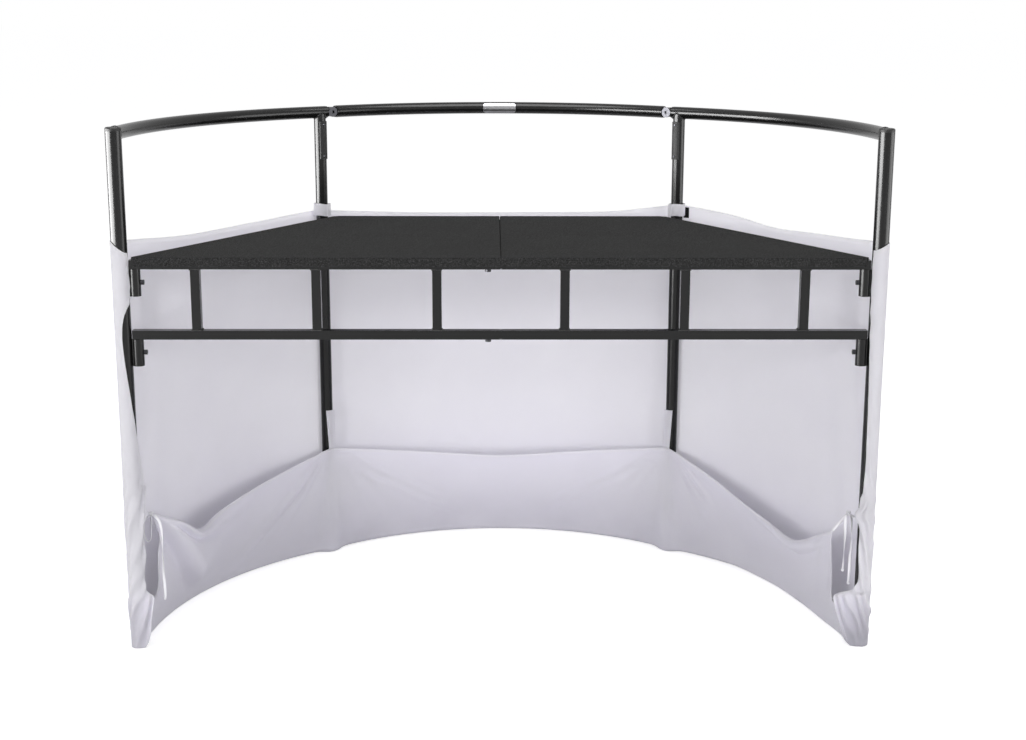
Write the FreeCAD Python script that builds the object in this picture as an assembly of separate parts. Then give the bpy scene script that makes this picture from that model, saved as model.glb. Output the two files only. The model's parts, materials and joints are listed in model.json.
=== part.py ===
import FreeCAD
import Part
import math
import os

Vector = FreeCAD.Vector
UP = Vector(0, 0, 1)
ORIGIN = Vector(0, 0, 0)

# Overall sizes of the booth, in millimetres
table_height = 902.0
guard_height = 280.0
mid_post_spread = 910.0
end_post_spread = 1656.0
wing_depth = 650.0
centre_bow = 172.0
wing_bow = 94.0

# Clearances and the overrun of cuts
weld_gap = 0.2
slip_gap = 0.3
cloth_gap = 0.4
cut_overrun = 5.0

# Round tubes of the facade, with their caps and feet
rail_diameter = 30.0
mid_post_diameter = 30.0
end_post_diameter = 35.0
tube_wall = 1.5
cap_height = 8.0
cap_round = 4.0
plug_length = 20.0
foot_height = 6.0
end_foot_diameter = 26.0
mid_foot_diameter = 24.0
mid_foot_rise = 4.0

# Bolted joints between the centre rails and the wings
rail_overhang = 15.0
bolt_station = 32.5
end_cap_thickness = 4.0
end_cap_inset = 0.5
tongue_thickness = 6.0
tongue_height = 24.0
rail_bolt_diameter = 10.0
rail_bolt_head_diameter = 25.0
rail_bolt_head_height = 7.0
rail_nut_width = 17.0
rail_nut_height = 7.0
socket_width = 8.0
socket_depth = 4.0

# Strap plates on the mid posts and the bare badge plate on the centre rail
strap_plate_length = 95.0
strap_plate_width = 20.0
strap_plate_thickness = 3.0
strap_plate_drop = 7.0
badge_width = 85.0
badge_height = 25.0
badge_thickness = 1.5
badge_corner = 6.0

# Table deck
deck_overhang = 10.0
deck_far_overhang = 15.0
deck_side_gap = 4.2
deck_tip_chamfer = 15.0
deck_far_chamfer = 12.0
board_thickness = 6.0
skirt_height = 20.0
skirt_thickness = 3.0
deck_edge_round = 2.0
seam_gap = 1.0

# Square tubes of the table frame
square_tube = 20.0
truss_window = 136.0
strut_first = 140.0
strut_pitch = 263.0
strut_count = 3
tube_end_margin = 10.0
spigot_length = 60.0
seam_bolt_offset = 28.0
seam_bolt_diameter = 6.0
seam_bolt_head_diameter = 13.0
seam_bolt_head_height = 6.0
seam_bolt_grip = 10.0

# Pins of the table and the clamped sleeves that take them
pin_diameter = 19.4
pin_length = 55.0
pin_chamfer = 2.0
sleeve_diameter = 25.0
sleeve_length = 60.0
clamp_screw_diameter = 6.0
clamp_head_diameter = 11.0
clamp_head_length = 7.0
clamp_socket_width = 5.0
clamp_socket_depth = 3.0

# Ledges on the mid posts that carry the far corners of the table
ledge_reach = 48.0
ledge_width = 36.0
ledge_thickness = 4.0
gusset_depth = 40.0

# Cloth of the front cover
cloth_thickness = 1.2
cover_rise = 27.0
cover_sag = 28.0
wrap_angle = 135.0
wrap_bow = 11.0
wrap_bow_bottom = 282.0
sock_angle = 200.0
sock_height = 110.0
wrap_edge_margin = 67.0
post_strap_drop = 16.0
post_strap_rise = 7.0
flap_height = 292.0
fold_depth = 22.0
hem_slack = 3.0
tab_width = 25.0
tab_bottom = 232.0
tab_top = 382.0

# Tie tapes that draw the flaps to the end posts
tie_width = 4.5
tie_thickness = 1.2
tie_knot_radius = 6.5
tie_rise = 22.0
bow_width = 16.0
bow_drop = 47.0

# Values that follow from the sizes above
booth_height = table_height + guard_height
cover_top = table_height + cover_rise
wrap_bow_top = cover_top - wrap_edge_margin
post_strap_bottom = cover_top - post_strap_drop
post_strap_top = cover_top + post_strap_rise
tie_height = flap_height + tie_rise
rail_radius = rail_diameter / 2
mid_post_radius = mid_post_diameter / 2
end_post_radius = end_post_diameter / 2
top_rail_height = booth_height - rail_radius
bottom_rail_height = foot_height + rail_radius
cover_offset = end_post_radius + cloth_gap
cover_outside = cover_offset + cloth_thickness
flap_offset = rail_radius + hem_slack
hem_height = foot_height - cloth_gap - cloth_thickness
front_reach = wing_depth + cover_outside
back_reach = centre_bow + cover_outside
mid_line = (front_reach - back_reach) / 2
tube_top = table_height - board_thickness
tube_bottom = tube_top - square_tube
lower_top = tube_bottom - truss_window
lower_bottom = lower_top - square_tube
tongue_half = tongue_height / 2
rail_bolt_radius = rail_bolt_diameter / 2
rail_bolt_hole = rail_bolt_radius + slip_gap


class PlanArc:
    """A level arc from start to end that bows to the left of its travel."""

    def __init__(self, start, end, bow):
        chord = end - start
        half = chord.Length / 2
        self.chord_heading = Vector(chord).normalize()
        self.chord_outward = Vector(-chord.y, chord.x, 0).normalize()
        self.radius = (half ** 2 + bow ** 2) / (2 * bow)
        self.centre = (start + end) / 2 + self.chord_outward * (bow - self.radius)
        self.half_angle = math.asin(half / self.radius)
        self.span = 2 * self.half_angle * self.radius

    def outward(self, length):
        """Level unit vector away from the arc's centre, at a length along the arc."""
        turn = self.half_angle - length / self.radius
        return FreeCAD.Rotation(UP, math.degrees(turn)).multVec(self.chord_outward)

    def heading(self, length):
        """Level unit vector along the arc, at a length along it."""
        return self.outward(length).cross(UP)

    def at(self, length, offset=0.0, height=0.0):
        """Point at a length along the arc, set off outwards and raised."""
        return self.centre + self.outward(length) * (self.radius + offset) + UP * height


right_mid = Vector(mid_post_spread / 2, mid_line, 0)
left_mid = Vector(-mid_post_spread / 2, mid_line, 0)
right_end = Vector(end_post_spread / 2, mid_line - wing_depth, 0)
centre_arc = PlanArc(left_mid, right_mid, centre_bow)
wing_arc = PlanArc(right_mid, right_end, wing_bow)


# Shared helpers

def mirrored(shape):
    return shape.mirror(ORIGIN, Vector(1, 0, 0))


def both_sides(pieces, name, shape):
    pieces["right_" + name] = shape
    pieces["left_" + name] = mirrored(shape)


def rod(base, radius, height, direction=UP):
    return Part.makeCylinder(radius, height, base, direction)


def ring_face(centre, normal, outer_radius, inner_radius):
    circles = [Part.Wire(Part.makeCircle(radius, centre, normal))
               for radius in (outer_radius, inner_radius)]
    return Part.makeFace(circles, "Part::FaceMakerBullseye")


def pipe(base, outer_radius, inner_radius, height):
    return ring_face(base, UP, outer_radius, inner_radius).extrude(UP * height)


def block(low, high):
    size = high - low
    return Part.makeBox(size.x, size.y, size.z, low)


def prism(points, bottom, top):
    corners = [Vector(point.x, point.y, bottom) for point in points]
    return Part.Face(Part.makePolygon(corners + corners[:1])).extrude(UP * (top - bottom))


def hexagon(centre, width, axis, across):
    """Hexagonal face of a width across flats, at right angles to axis."""
    corner_radius = width / math.sqrt(3)
    corners = [centre + FreeCAD.Rotation(axis, 60 * step).multVec(across * corner_radius)
               for step in range(7)]
    return Part.Face(Part.makePolygon(corners))


def bent_bar(arc, height, begin, finish, radius, bore=0.0):
    """Round bar, or tube with a bore, that follows an arc between two lengths."""
    start = arc.at(begin, 0, height)
    heading = arc.heading(begin)
    if bore:
        section = ring_face(start, heading, radius, bore)
    else:
        section = Part.Face(Part.Wire(Part.makeCircle(radius, start, heading)))
    turn = -math.degrees((finish - begin) / arc.radius)
    return section.revolve(arc.centre, UP, turn)


def facing(origin, forward):
    """Placement whose X axis runs along a level direction."""
    angle = math.degrees(math.atan2(forward.y, forward.x))
    return FreeCAD.Placement(origin, FreeCAD.Rotation(UP, angle))


def placed(shape, placement):
    return shape.transformed(placement.toMatrix())


# Posts, rails, caps and feet

def make_end_post():
    base = right_end + UP * foot_height
    height = booth_height - cap_height - foot_height
    return pipe(base, end_post_radius, end_post_radius - tube_wall, height)


def make_post_cap():
    seat = right_end + UP * (booth_height - cap_height)
    lid = rod(seat, end_post_radius, cap_height)
    rim = [edge for edge in lid.Edges if edge.BoundBox.ZMin > seat.z + cap_height / 2]
    lid = lid.makeFillet(min(cap_round, cap_height / 2), rim)
    plug_radius = end_post_radius - tube_wall - slip_gap
    return lid.fuse(rod(seat - UP * plug_length, plug_radius, plug_length))


def make_end_foot():
    plug_radius = end_post_radius - tube_wall - slip_gap
    pad = rod(right_end, end_foot_diameter / 2, foot_height)
    return pad.fuse(rod(right_end + UP * foot_height, plug_radius, plug_length))


def saddle_bar(height):
    """Envelope of a wing rail where a mid post or its foot meets it."""
    reach = mid_post_radius + mid_foot_diameter + cut_overrun
    return bent_bar(wing_arc, height, -reach, reach, rail_radius + weld_gap)


def make_mid_post():
    base = right_mid + UP * bottom_rail_height
    height = top_rail_height - bottom_rail_height
    post = pipe(base, mid_post_radius, mid_post_radius - tube_wall, height)
    return post.cut(saddle_bar(bottom_rail_height)).cut(saddle_bar(top_rail_height))


def make_mid_foot():
    pad = rod(right_mid, mid_foot_diameter / 2, foot_height + mid_foot_rise)
    return pad.cut(saddle_bar(bottom_rail_height))


def make_wing_rail(height):
    bar = bent_bar(wing_arc, height, -rail_overhang, wing_arc.span,
                   rail_radius, rail_radius - tube_wall)
    return bar.cut(rod(right_end, end_post_radius + weld_gap, booth_height))


def joint_frame(height):
    """Frame of a rail joint: X inboard along the centre rail, Y towards the standing side."""
    length = centre_arc.span - bolt_station
    return facing(centre_arc.at(length, 0, height), -centre_arc.heading(length))


def tongue(reach, near_y, far_y):
    """Flat bar round the bolt axis, from its round nose to a reach along X."""
    nose = rod(Vector(0, near_y, 0), tongue_half, far_y - near_y, Vector(0, 1, 0))
    low = Vector(min(0, reach), near_y, -tongue_half)
    high = Vector(max(0, reach), far_y, tongue_half)
    return nose.fuse(block(low, high))


def bolt_way():
    depth = tongue_thickness + rail_nut_height + cut_overrun
    return rod(Vector(0, -depth, 0), rail_bolt_hole, 2 * depth, Vector(0, 1, 0))


def make_lug(height):
    """Round end cap of a wing rail with the tongue and nut that take the rail bolt."""
    reach = -(bolt_station - rail_overhang - end_cap_thickness / 2)
    bar = tongue(reach, -tongue_thickness, 0)
    nut_face = hexagon(Vector(0, -tongue_thickness, 0), rail_nut_width, Vector(0, 1, 0), UP)
    bar = bar.fuse(nut_face.extrude(Vector(0, -rail_nut_height, 0))).cut(bolt_way())
    inboard = -wing_arc.heading(-rail_overhang)
    cap = rod(wing_arc.at(-rail_overhang, 0, height), rail_radius - end_cap_inset,
              end_cap_thickness, inboard)
    return placed(bar, joint_frame(height)).fuse(cap)


def make_tang(height):
    """Round end cap of the centre rail with its tongue, welded into the tube."""
    rail_start = bolt_station - rail_overhang
    bar = tongue(rail_start, 0, tongue_thickness).cut(bolt_way())
    cap = rod(Vector(rail_start - end_cap_thickness, 0, 0), rail_radius - end_cap_inset,
              2 * end_cap_thickness, Vector(1, 0, 0))
    return placed(bar.fuse(cap), joint_frame(height))


def make_centre_rail(height):
    lead = 2 * bolt_station - rail_overhang
    bar = bent_bar(centre_arc, height, lead, centre_arc.span - lead,
                   rail_radius, rail_radius - tube_wall)
    tang = make_tang(height)
    return bar.fuse(tang).fuse(mirrored(tang))


def make_rail_bolt(height):
    toward = Vector(0, 1, 0)
    head = rod(Vector(0, tongue_thickness, 0), rail_bolt_head_diameter / 2,
               rail_bolt_head_height, toward)
    face = Vector(0, tongue_thickness + rail_bolt_head_height, 0)
    socket = hexagon(face, socket_width, toward, UP).extrude(toward * -socket_depth)
    shank_length = 2 * tongue_thickness + rail_nut_height
    shank = rod(Vector(0, tongue_thickness, 0), rail_bolt_radius, shank_length, -toward)
    return placed(head.cut(socket).fuse(shank), joint_frame(height))


def make_strap_plate():
    bottom = top_rail_height - rail_radius - strap_plate_drop - strap_plate_length
    inner = mid_post_radius + weld_gap
    shell = pipe(UP * bottom, inner + strap_plate_thickness, inner, strap_plate_length)
    half = strap_plate_width / 2
    window = block(Vector(-half, 0, bottom), Vector(half, 2 * mid_post_diameter,
                                                    bottom + strap_plate_length))
    frame = facing(right_mid, -centre_arc.heading(centre_arc.span))
    return placed(shell.common(window), frame)


def make_badge():
    middle = centre_arc.span / 2
    inner = rail_radius + weld_gap
    shell = bent_bar(centre_arc, top_rail_height, middle - badge_width, middle + badge_width,
                     inner + badge_thickness, inner)
    axis = centre_arc.at(middle, 0, top_rail_height)
    low = axis - Vector(badge_width / 2, rail_diameter, badge_height / 2)
    outline = block(low, axis + Vector(badge_width / 2, 0, badge_height / 2))
    level = [edge for edge in outline.Edges if edge.BoundBox.YLength > rail_radius]
    return shell.common(outline.makeFillet(badge_corner, level))


# Sleeves, pins and clamp screws

front_edge = right_end.y - deck_overhang
tube_front = front_edge + skirt_thickness
tube_back = tube_front + square_tube
tube_row = (tube_front + tube_back) / 2
sleeve_radius = sleeve_diameter / 2
sleeve_distance = end_post_radius + sleeve_radius + weld_gap
sleeve_x = right_end.x - math.sqrt(sleeve_distance ** 2 - (tube_row - right_end.y) ** 2)
tube_end = sleeve_x + tube_end_margin
pin_radius = pin_diameter / 2


def clamp_axis(seat):
    """Point on the sleeve's axis at the height of its clamp screw."""
    return Vector(sleeve_x, tube_row, seat - sleeve_length / 2)


def make_sleeve(seat):
    base = Vector(sleeve_x, tube_row, seat - sleeve_length)
    body = pipe(base, sleeve_radius, pin_radius + slip_gap, sleeve_length)
    inward = Vector(-1, 0, 0)
    hole_radius = clamp_screw_diameter / 2 + slip_gap
    return body.cut(rod(clamp_axis(seat), hole_radius, sleeve_diameter, inward))


def make_clamp_screw(seat):
    inward = Vector(-1, 0, 0)
    axis = clamp_axis(seat)
    tip = axis + inward * (pin_radius + slip_gap)
    head_base = axis + inward * (sleeve_radius + slip_gap)
    shank = rod(tip, clamp_screw_diameter / 2, head_base.distanceToPoint(tip), inward)
    head = rod(head_base, clamp_head_diameter / 2, clamp_head_length, inward)
    face = head_base + inward * clamp_head_length
    socket = hexagon(face, clamp_socket_width, inward, UP)
    return head.cut(socket.extrude(inward * -clamp_socket_depth)).fuse(shank)


def make_pin(seat):
    pin = rod(Vector(sleeve_x, tube_row, seat - pin_length), pin_radius, pin_length)
    tip = [edge for edge in pin.Edges if edge.BoundBox.ZMax < seat - pin_length / 2]
    return pin.makeChamfer(pin_chamfer, tip)


# Table deck and its tube frame

side_heading = wing_arc.chord_heading
side_inward = -wing_arc.chord_outward
far_edge = mid_line + deck_far_overhang


def side_at(y, margin):
    """Point of the deck's side edge, moved inwards by a margin, at a depth y."""
    start = right_mid + side_inward * (mid_post_radius + deck_side_gap + margin)
    return start + side_heading * ((y - start.y) / side_heading.y)


def deck_outline(margin, seam):
    """Plan outline of the right half of the deck, moved inwards by a margin."""
    tip = side_at(front_edge + margin, margin)
    far_corner = side_at(far_edge - margin, margin)
    along = Vector(1, 0, 0)
    return [Vector(seam, tip.y, 0),
            tip - along * deck_tip_chamfer,
            tip - side_heading * deck_tip_chamfer,
            far_corner + side_heading * deck_far_chamfer,
            far_corner - along * deck_far_chamfer,
            Vector(seam, far_corner.y, 0)]


def make_deck():
    seam = seam_gap / 2
    body = prism(deck_outline(0, seam), table_height - skirt_height, table_height)
    rim = [edge for edge in body.Edges if edge.BoundBox.ZMin > table_height - skirt_height / 2]
    body = body.makeFillet(deck_edge_round, rim)
    inside = deck_outline(skirt_thickness, -cut_overrun)
    body = body.cut(prism(inside, table_height - skirt_height - cut_overrun, tube_top))
    passage = block(Vector(seam, tube_front, tube_bottom),
                    Vector(tube_end + cut_overrun, tube_back, tube_top))
    return body.cut(passage)


def make_row_tube(bottom):
    """Square tube along the front of the table, from the seam to over the pin."""
    low = Vector(seam_gap / 2, tube_front, bottom)
    high = Vector(tube_end, tube_back, bottom + square_tube)
    wall = Vector(-cut_overrun, tube_wall, tube_wall)
    return block(low, high).cut(block(low + wall, high - wall))


def make_spigot(bottom):
    """Square bar welded in the right tube that slides into the left one."""
    seam = seam_gap / 2
    wall = Vector(0, tube_wall, tube_wall)
    slip = Vector(0, slip_gap, slip_gap)
    low = Vector(seam, tube_front, bottom) + wall
    high = Vector(seam, tube_back, bottom + square_tube) - wall
    reach = Vector(spigot_length, 0, 0)
    root = block(low, high + reach)
    return root.fuse(block(low + slip - reach, high - slip))


def seam_bolt_way(bottom):
    base = Vector(-seam_bolt_offset, tube_row, bottom - cut_overrun)
    depth = cut_overrun + tube_wall + seam_bolt_grip + slip_gap
    return rod(base, seam_bolt_diameter / 2 + slip_gap, depth)


def make_seam_bolt(bottom):
    base = Vector(-seam_bolt_offset, tube_row, bottom)
    head = rod(base, seam_bolt_head_diameter / 2, seam_bolt_head_height, -UP)
    face = base - UP * seam_bolt_head_height
    socket = hexagon(face, clamp_socket_width, UP, Vector(1, 0, 0))
    head = head.cut(socket.extrude(UP * clamp_socket_depth))
    return head.fuse(rod(base, seam_bolt_diameter / 2, tube_wall + seam_bolt_grip))


def make_side_tube():
    def band(outer, inner):
        ends = (tube_back, far_edge - skirt_thickness - square_tube)
        first = [side_at(y, outer) for y in ends]
        second = [side_at(y, inner) for y in reversed(ends)]
        return first + second
    near = skirt_thickness
    far = skirt_thickness + square_tube
    body = prism(band(near, far), tube_bottom, tube_top)
    bore = band(near + tube_wall, far - tube_wall)
    return body.cut(prism(bore, tube_bottom + tube_wall, tube_top - tube_wall))


def make_rear_tube():
    low = Vector(seam_gap / 2, far_edge - skirt_thickness - square_tube, tube_bottom)
    high = Vector(mid_post_spread / 2, far_edge - skirt_thickness, tube_top)
    wall = Vector(-cut_overrun, tube_wall, tube_wall)
    body = block(low, high).cut(block(low + wall, high - wall))
    return body.common(prism(deck_outline(skirt_thickness, 0), tube_bottom, tube_top))


def make_strut(x):
    half = square_tube / 2
    low = Vector(x - half, tube_front, lower_top)
    high = Vector(x + half, tube_back, tube_bottom)
    wall = Vector(tube_wall, tube_wall, 0)
    return block(low, high).cut(block(low + wall, high - wall))


def make_ledge():
    """Flat ledge with a gusset, welded to a mid post under the far corner of the table."""
    half = ledge_width / 2
    top = tube_bottom
    plate = block(Vector(0, -half, top - ledge_thickness), Vector(ledge_reach, half, top))
    web_half = ledge_thickness / 2
    under = top - ledge_thickness
    corners = [Vector(0, -web_half, under), Vector(ledge_reach, -web_half, under),
               Vector(mid_post_radius, -web_half, under - gusset_depth),
               Vector(0, -web_half, under - gusset_depth)]
    web = Part.Face(Part.makePolygon(corners + corners[:1])).extrude(Vector(0, ledge_thickness, 0))
    post = rod(ORIGIN, mid_post_radius + weld_gap, booth_height)
    return placed(plate.fuse(web).cut(post), facing(right_mid, side_inward))


# Cloth cover: outer skin, wraps round the end posts, straps and the flaps inside

def polygon_section(points):
    return Part.Wire(Part.makePolygon(points + points[:1]))


def cover_section(arc, length, top):
    """Upright section of the outer skin at a length along an arc."""
    corners = ((cover_offset, hem_height), (cover_outside, hem_height),
               (cover_outside, top), (cover_offset, top))
    return polygon_section([arc.at(length, offset, height) for offset, height in corners])


def make_cover(arc, begin, finish, sag_shares):
    steps = len(sag_shares) - 1
    sections = []
    for step, share in enumerate(sag_shares):
        length = begin + (finish - begin) * step / steps
        sections.append(cover_section(arc, length, cover_top - cover_sag * share))
    return Part.makeLoft(sections, True, False)


def make_wrap():
    """Cloth round an end post, with a bowed inner edge and a sock round its foot."""
    outward = wing_arc.outward(wing_arc.span)

    def turned_band(top, angle):
        corners = [right_end + outward * radius + UP * height
                   for radius, height in ((cover_offset, hem_height), (cover_outside, hem_height),
                                          (cover_outside, top), (cover_offset, top))]
        face = Part.Face(Part.makePolygon(corners + corners[:1]))
        return face.revolve(right_end, UP, -angle)
    band = turned_band(cover_top, wrap_angle).fuse(turned_band(sock_height, sock_angle))
    edge = FreeCAD.Rotation(UP, -wrap_angle).multVec(outward)
    half = (wrap_bow_top - wrap_bow_bottom) / 2
    bow_radius = (half ** 2 + wrap_bow ** 2) / (2 * wrap_bow)
    edge_x = right_end.x + edge.x * cover_outside
    bite = rod(Vector(edge_x + wrap_bow - bow_radius, right_end.y - 2 * cover_outside,
                      wrap_bow_bottom + half), bow_radius, 4 * cover_outside, Vector(0, 1, 0))
    return band.removeSplitter().cut(bite)


def make_post_strap():
    inner = mid_post_radius + cloth_gap
    return pipe(right_mid + UP * post_strap_bottom, inner + cloth_thickness, inner,
                post_strap_top - post_strap_bottom)


def flap_section(arc, length, top, lean, fold):
    """Section of the cloth that turns in under the bottom rail and stands up inside."""
    def place(offset, height):
        return arc.at(length, offset, height)
    outer_foot = place(-flap_offset, hem_height + cloth_thickness)
    inner_foot = place(-flap_offset - cloth_thickness, hem_height)
    inner_top = place(-flap_offset - lean - cloth_thickness, top)
    outer_top = place(-flap_offset - lean, top)
    swell = arc.outward(length) * -fold
    hem_under = place(cover_offset - cloth_gap, hem_height)
    hem_over = place(cover_offset - cloth_gap, hem_height + cloth_thickness)
    inner_arc = Part.Arc(inner_foot, (inner_foot + inner_top) / 2 + swell, inner_top)
    outer_arc = Part.Arc(outer_top, (outer_foot + outer_top) / 2 + swell, outer_foot)
    edges = [Part.makeLine(hem_under, inner_foot), inner_arc.toShape(),
             Part.makeLine(inner_top, outer_top), outer_arc.toShape(),
             Part.makeLine(outer_foot, hem_over), Part.makeLine(hem_over, hem_under)]
    return Part.Wire(edges)


def make_flap(arc, bow, begin, finish, station_shares):
    """Loft through stations: shares of the way along, of the height, of the bow and of the fold."""
    sections = []
    for along_share, top_share, lean_share, fold_share in station_shares:
        length = begin + (finish - begin) * along_share
        sections.append(flap_section(arc, length, flap_height * top_share, bow * lean_share,
                                     fold_depth * fold_share))
    foot_way = rod(right_mid, mid_foot_diameter / 2 + cloth_gap, foot_height + mid_foot_rise)
    return Part.makeLoft(sections, True, False).cut(foot_way).cut(mirrored(foot_way))


def make_flap_tab():
    """Cloth tab that stands up against a mid post behind the centre flap."""
    inner = -mid_post_radius - cloth_gap
    sections = []
    for length in (centre_arc.span, centre_arc.span - tab_width):
        corners = ((inner, tab_bottom), (inner - cloth_thickness, tab_bottom),
                   (inner - cloth_thickness, tab_top), (inner, tab_top))
        sections.append(polygon_section([centre_arc.at(length, offset, height)
                                         for offset, height in corners]))
    return Part.makeLoft(sections, True, True)


# Ties: a knot at the end of each wing flap, a bow on the left one, and hanging tails

def tie_knot():
    """Centre of the right knot, just past the end of the wing flap's top edge."""
    length = flap_finish + tie_knot_radius + cloth_gap
    lean = wing_bow * left_station_shares[-1][2]
    return wing_arc.at(length, -flap_offset - lean, tie_height - tie_knot_radius)


def make_link():
    """Taut tape from the top corner of the right flap to its knot."""
    top_share, lean_share = right_station_shares[-1][1:3]
    corner = wing_arc.at(flap_finish + tie_thickness + cloth_gap, -flap_offset - wing_bow * lean_share,
                         flap_height * top_share - tie_thickness)
    run = tie_knot() - corner
    return rod(corner, tie_thickness, run.Length - tie_knot_radius - cloth_gap, run)


def make_bow():
    """Flat loop of tape that hangs under the left knot."""
    knot = tie_knot()
    half = bow_width / 2
    top = Vector(0, 0, -tie_knot_radius - cloth_gap)
    straight = Vector(0, 0, half - bow_drop)

    def loop(inset):
        radius = half - inset
        right = Vector(radius, 0, 0)
        upper = top - UP * half
        edges = [Part.Arc(upper - right, upper + UP * radius, upper + right).toShape(),
                 Part.makeLine(upper + right, top + straight + right),
                 Part.Arc(top + straight + right, top + straight - UP * radius,
                          top + straight - right).toShape(),
                 Part.makeLine(top + straight - right, upper - right)]
        return Part.Face(Part.Wire(edges))
    ring = loop(0).cut(loop(tie_thickness)).extrude(Vector(0, tie_width, 0))
    ring.translate(Vector(-knot.x, knot.y - tie_width / 2, knot.z))
    return ring


def cord_tube(name, points, diameter):
    """Round cord along straight runs joined by the largest tangent arcs that they allow."""
    edges = []
    radii = []
    last = points[0]
    for before, corner, after in zip(points, points[1:], points[2:]):
        arriving = (corner - before).normalize()
        leaving = (after - corner).normalize()
        half_turn = arriving.getAngle(leaving) / 2
        shorter = min(before.distanceToPoint(corner), corner.distanceToPoint(after))
        setback = tie_setback_share * shorter
        radius = setback / math.tan(half_turn)
        middle = (leaving - arriving).normalize() * (radius / math.cos(half_turn) - radius)
        begin = corner - arriving * setback
        finish = corner + leaving * setback
        edges += [Part.makeLine(last, begin), Part.Arc(begin, corner + middle, finish).toShape()]
        radii.append(radius)
        last = finish
    edges.append(Part.makeLine(last, points[-1]))
    path = Part.Wire(edges)
    heading = (points[1] - points[0]).normalize()
    section = Part.Wire(Part.makeCircle(diameter / 2, points[0], heading))
    tube = path.makePipeShell([section], True, False)
    ideal = math.pi * diameter ** 2 / 4 * path.Length
    print(name, "length", round(path.Length, 1), "least radius", round(min(radii), 1),
          "volume ratio", round(tube.Volume / ideal, 4))
    return tube


def make_tail(name, side, route):
    """Hanging tail on the right or left knot, along a route measured from the knot's centre."""
    knot = tie_knot()
    points = [Vector(side * (knot.x + x), knot.y + y, knot.z + z) for x, y, z in route]
    return cord_tube(name, points, tie_width)


wing_cover_sag_shares = (0.0, 0.68, 1.0, 0.5, 0.0)
centre_cover_sag_shares = (0.0, 0.86, 1.2, 1.2, 0.86, 0.0)
right_station_shares = ((0.0, 0.99, 0.0, 0.15), (0.22, 0.88, 0.51, 0.4), (0.39, 0.77, 0.74, -0.1),
                        (0.56, 0.69, 0.77, 0.45), (0.72, 0.64, 0.68, 1.0), (0.86, 0.7, 0.6, 0.4),
                        (1.0, 0.83, 0.53, 0.2))
left_station_shares = ((0.0, 0.99, 0.0, 0.15), (0.2, 0.94, 0.5, 0.4), (0.44, 0.88, 0.76, -0.1),
                       (0.64, 0.83, 0.74, 0.45), (0.8, 0.8, 0.56, 1.0), (0.9, 0.92, 0.38, -0.3),
                       (1.0, 1.05, 0.15, 0.2))
centre_station_shares = ((0.0, 0.99, 0.0, 0.15), (0.2, 0.94, 0.35, 0.4), (0.4, 0.9, 0.53, 0.5),
                         (0.6, 0.9, 0.53, 0.5), (0.8, 0.94, 0.35, 0.4), (1.0, 0.99, 0.0, 0.15))
flap_end_share = 0.95
tie_setback_share = 0.45
flap_finish = wing_arc.span * flap_end_share

# Routes of the tie tails, from the centre of their knot
left_tail_route = ((-7.5, -1.0, -2.0), (-17.0, -6.0, -10.0), (-24.0, -12.0, -27.0), (-26.0, -17.0, -52.0),
                   (-25.0, -19.0, -81.0), (-27.0, -20.0, -111.0), (-26.0, -20.0, -140.0),
                   (-28.0, -19.0, -168.0), (-27.0, -19.0, -195.0))
right_tail_route = ((3.0, -7.0, -1.5), (4.0, -17.0, -8.0), (4.5, -21.0, -24.0), (3.5, -22.0, -49.0),
                    (4.5, -23.0, -77.0), (3.0, -22.5, -106.0), (4.0, -23.0, -134.0), (3.0, -22.0, -160.0))
short_tail_route = ((-5.0, -5.5, -2.0), (-9.0, -14.0, -9.0), (-10.5, -18.0, -25.0), (-9.0, -19.0, -49.0),
                    (-10.5, -19.5, -76.0), (-9.5, -19.0, -104.0), (-11.0, -19.5, -130.0))


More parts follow.
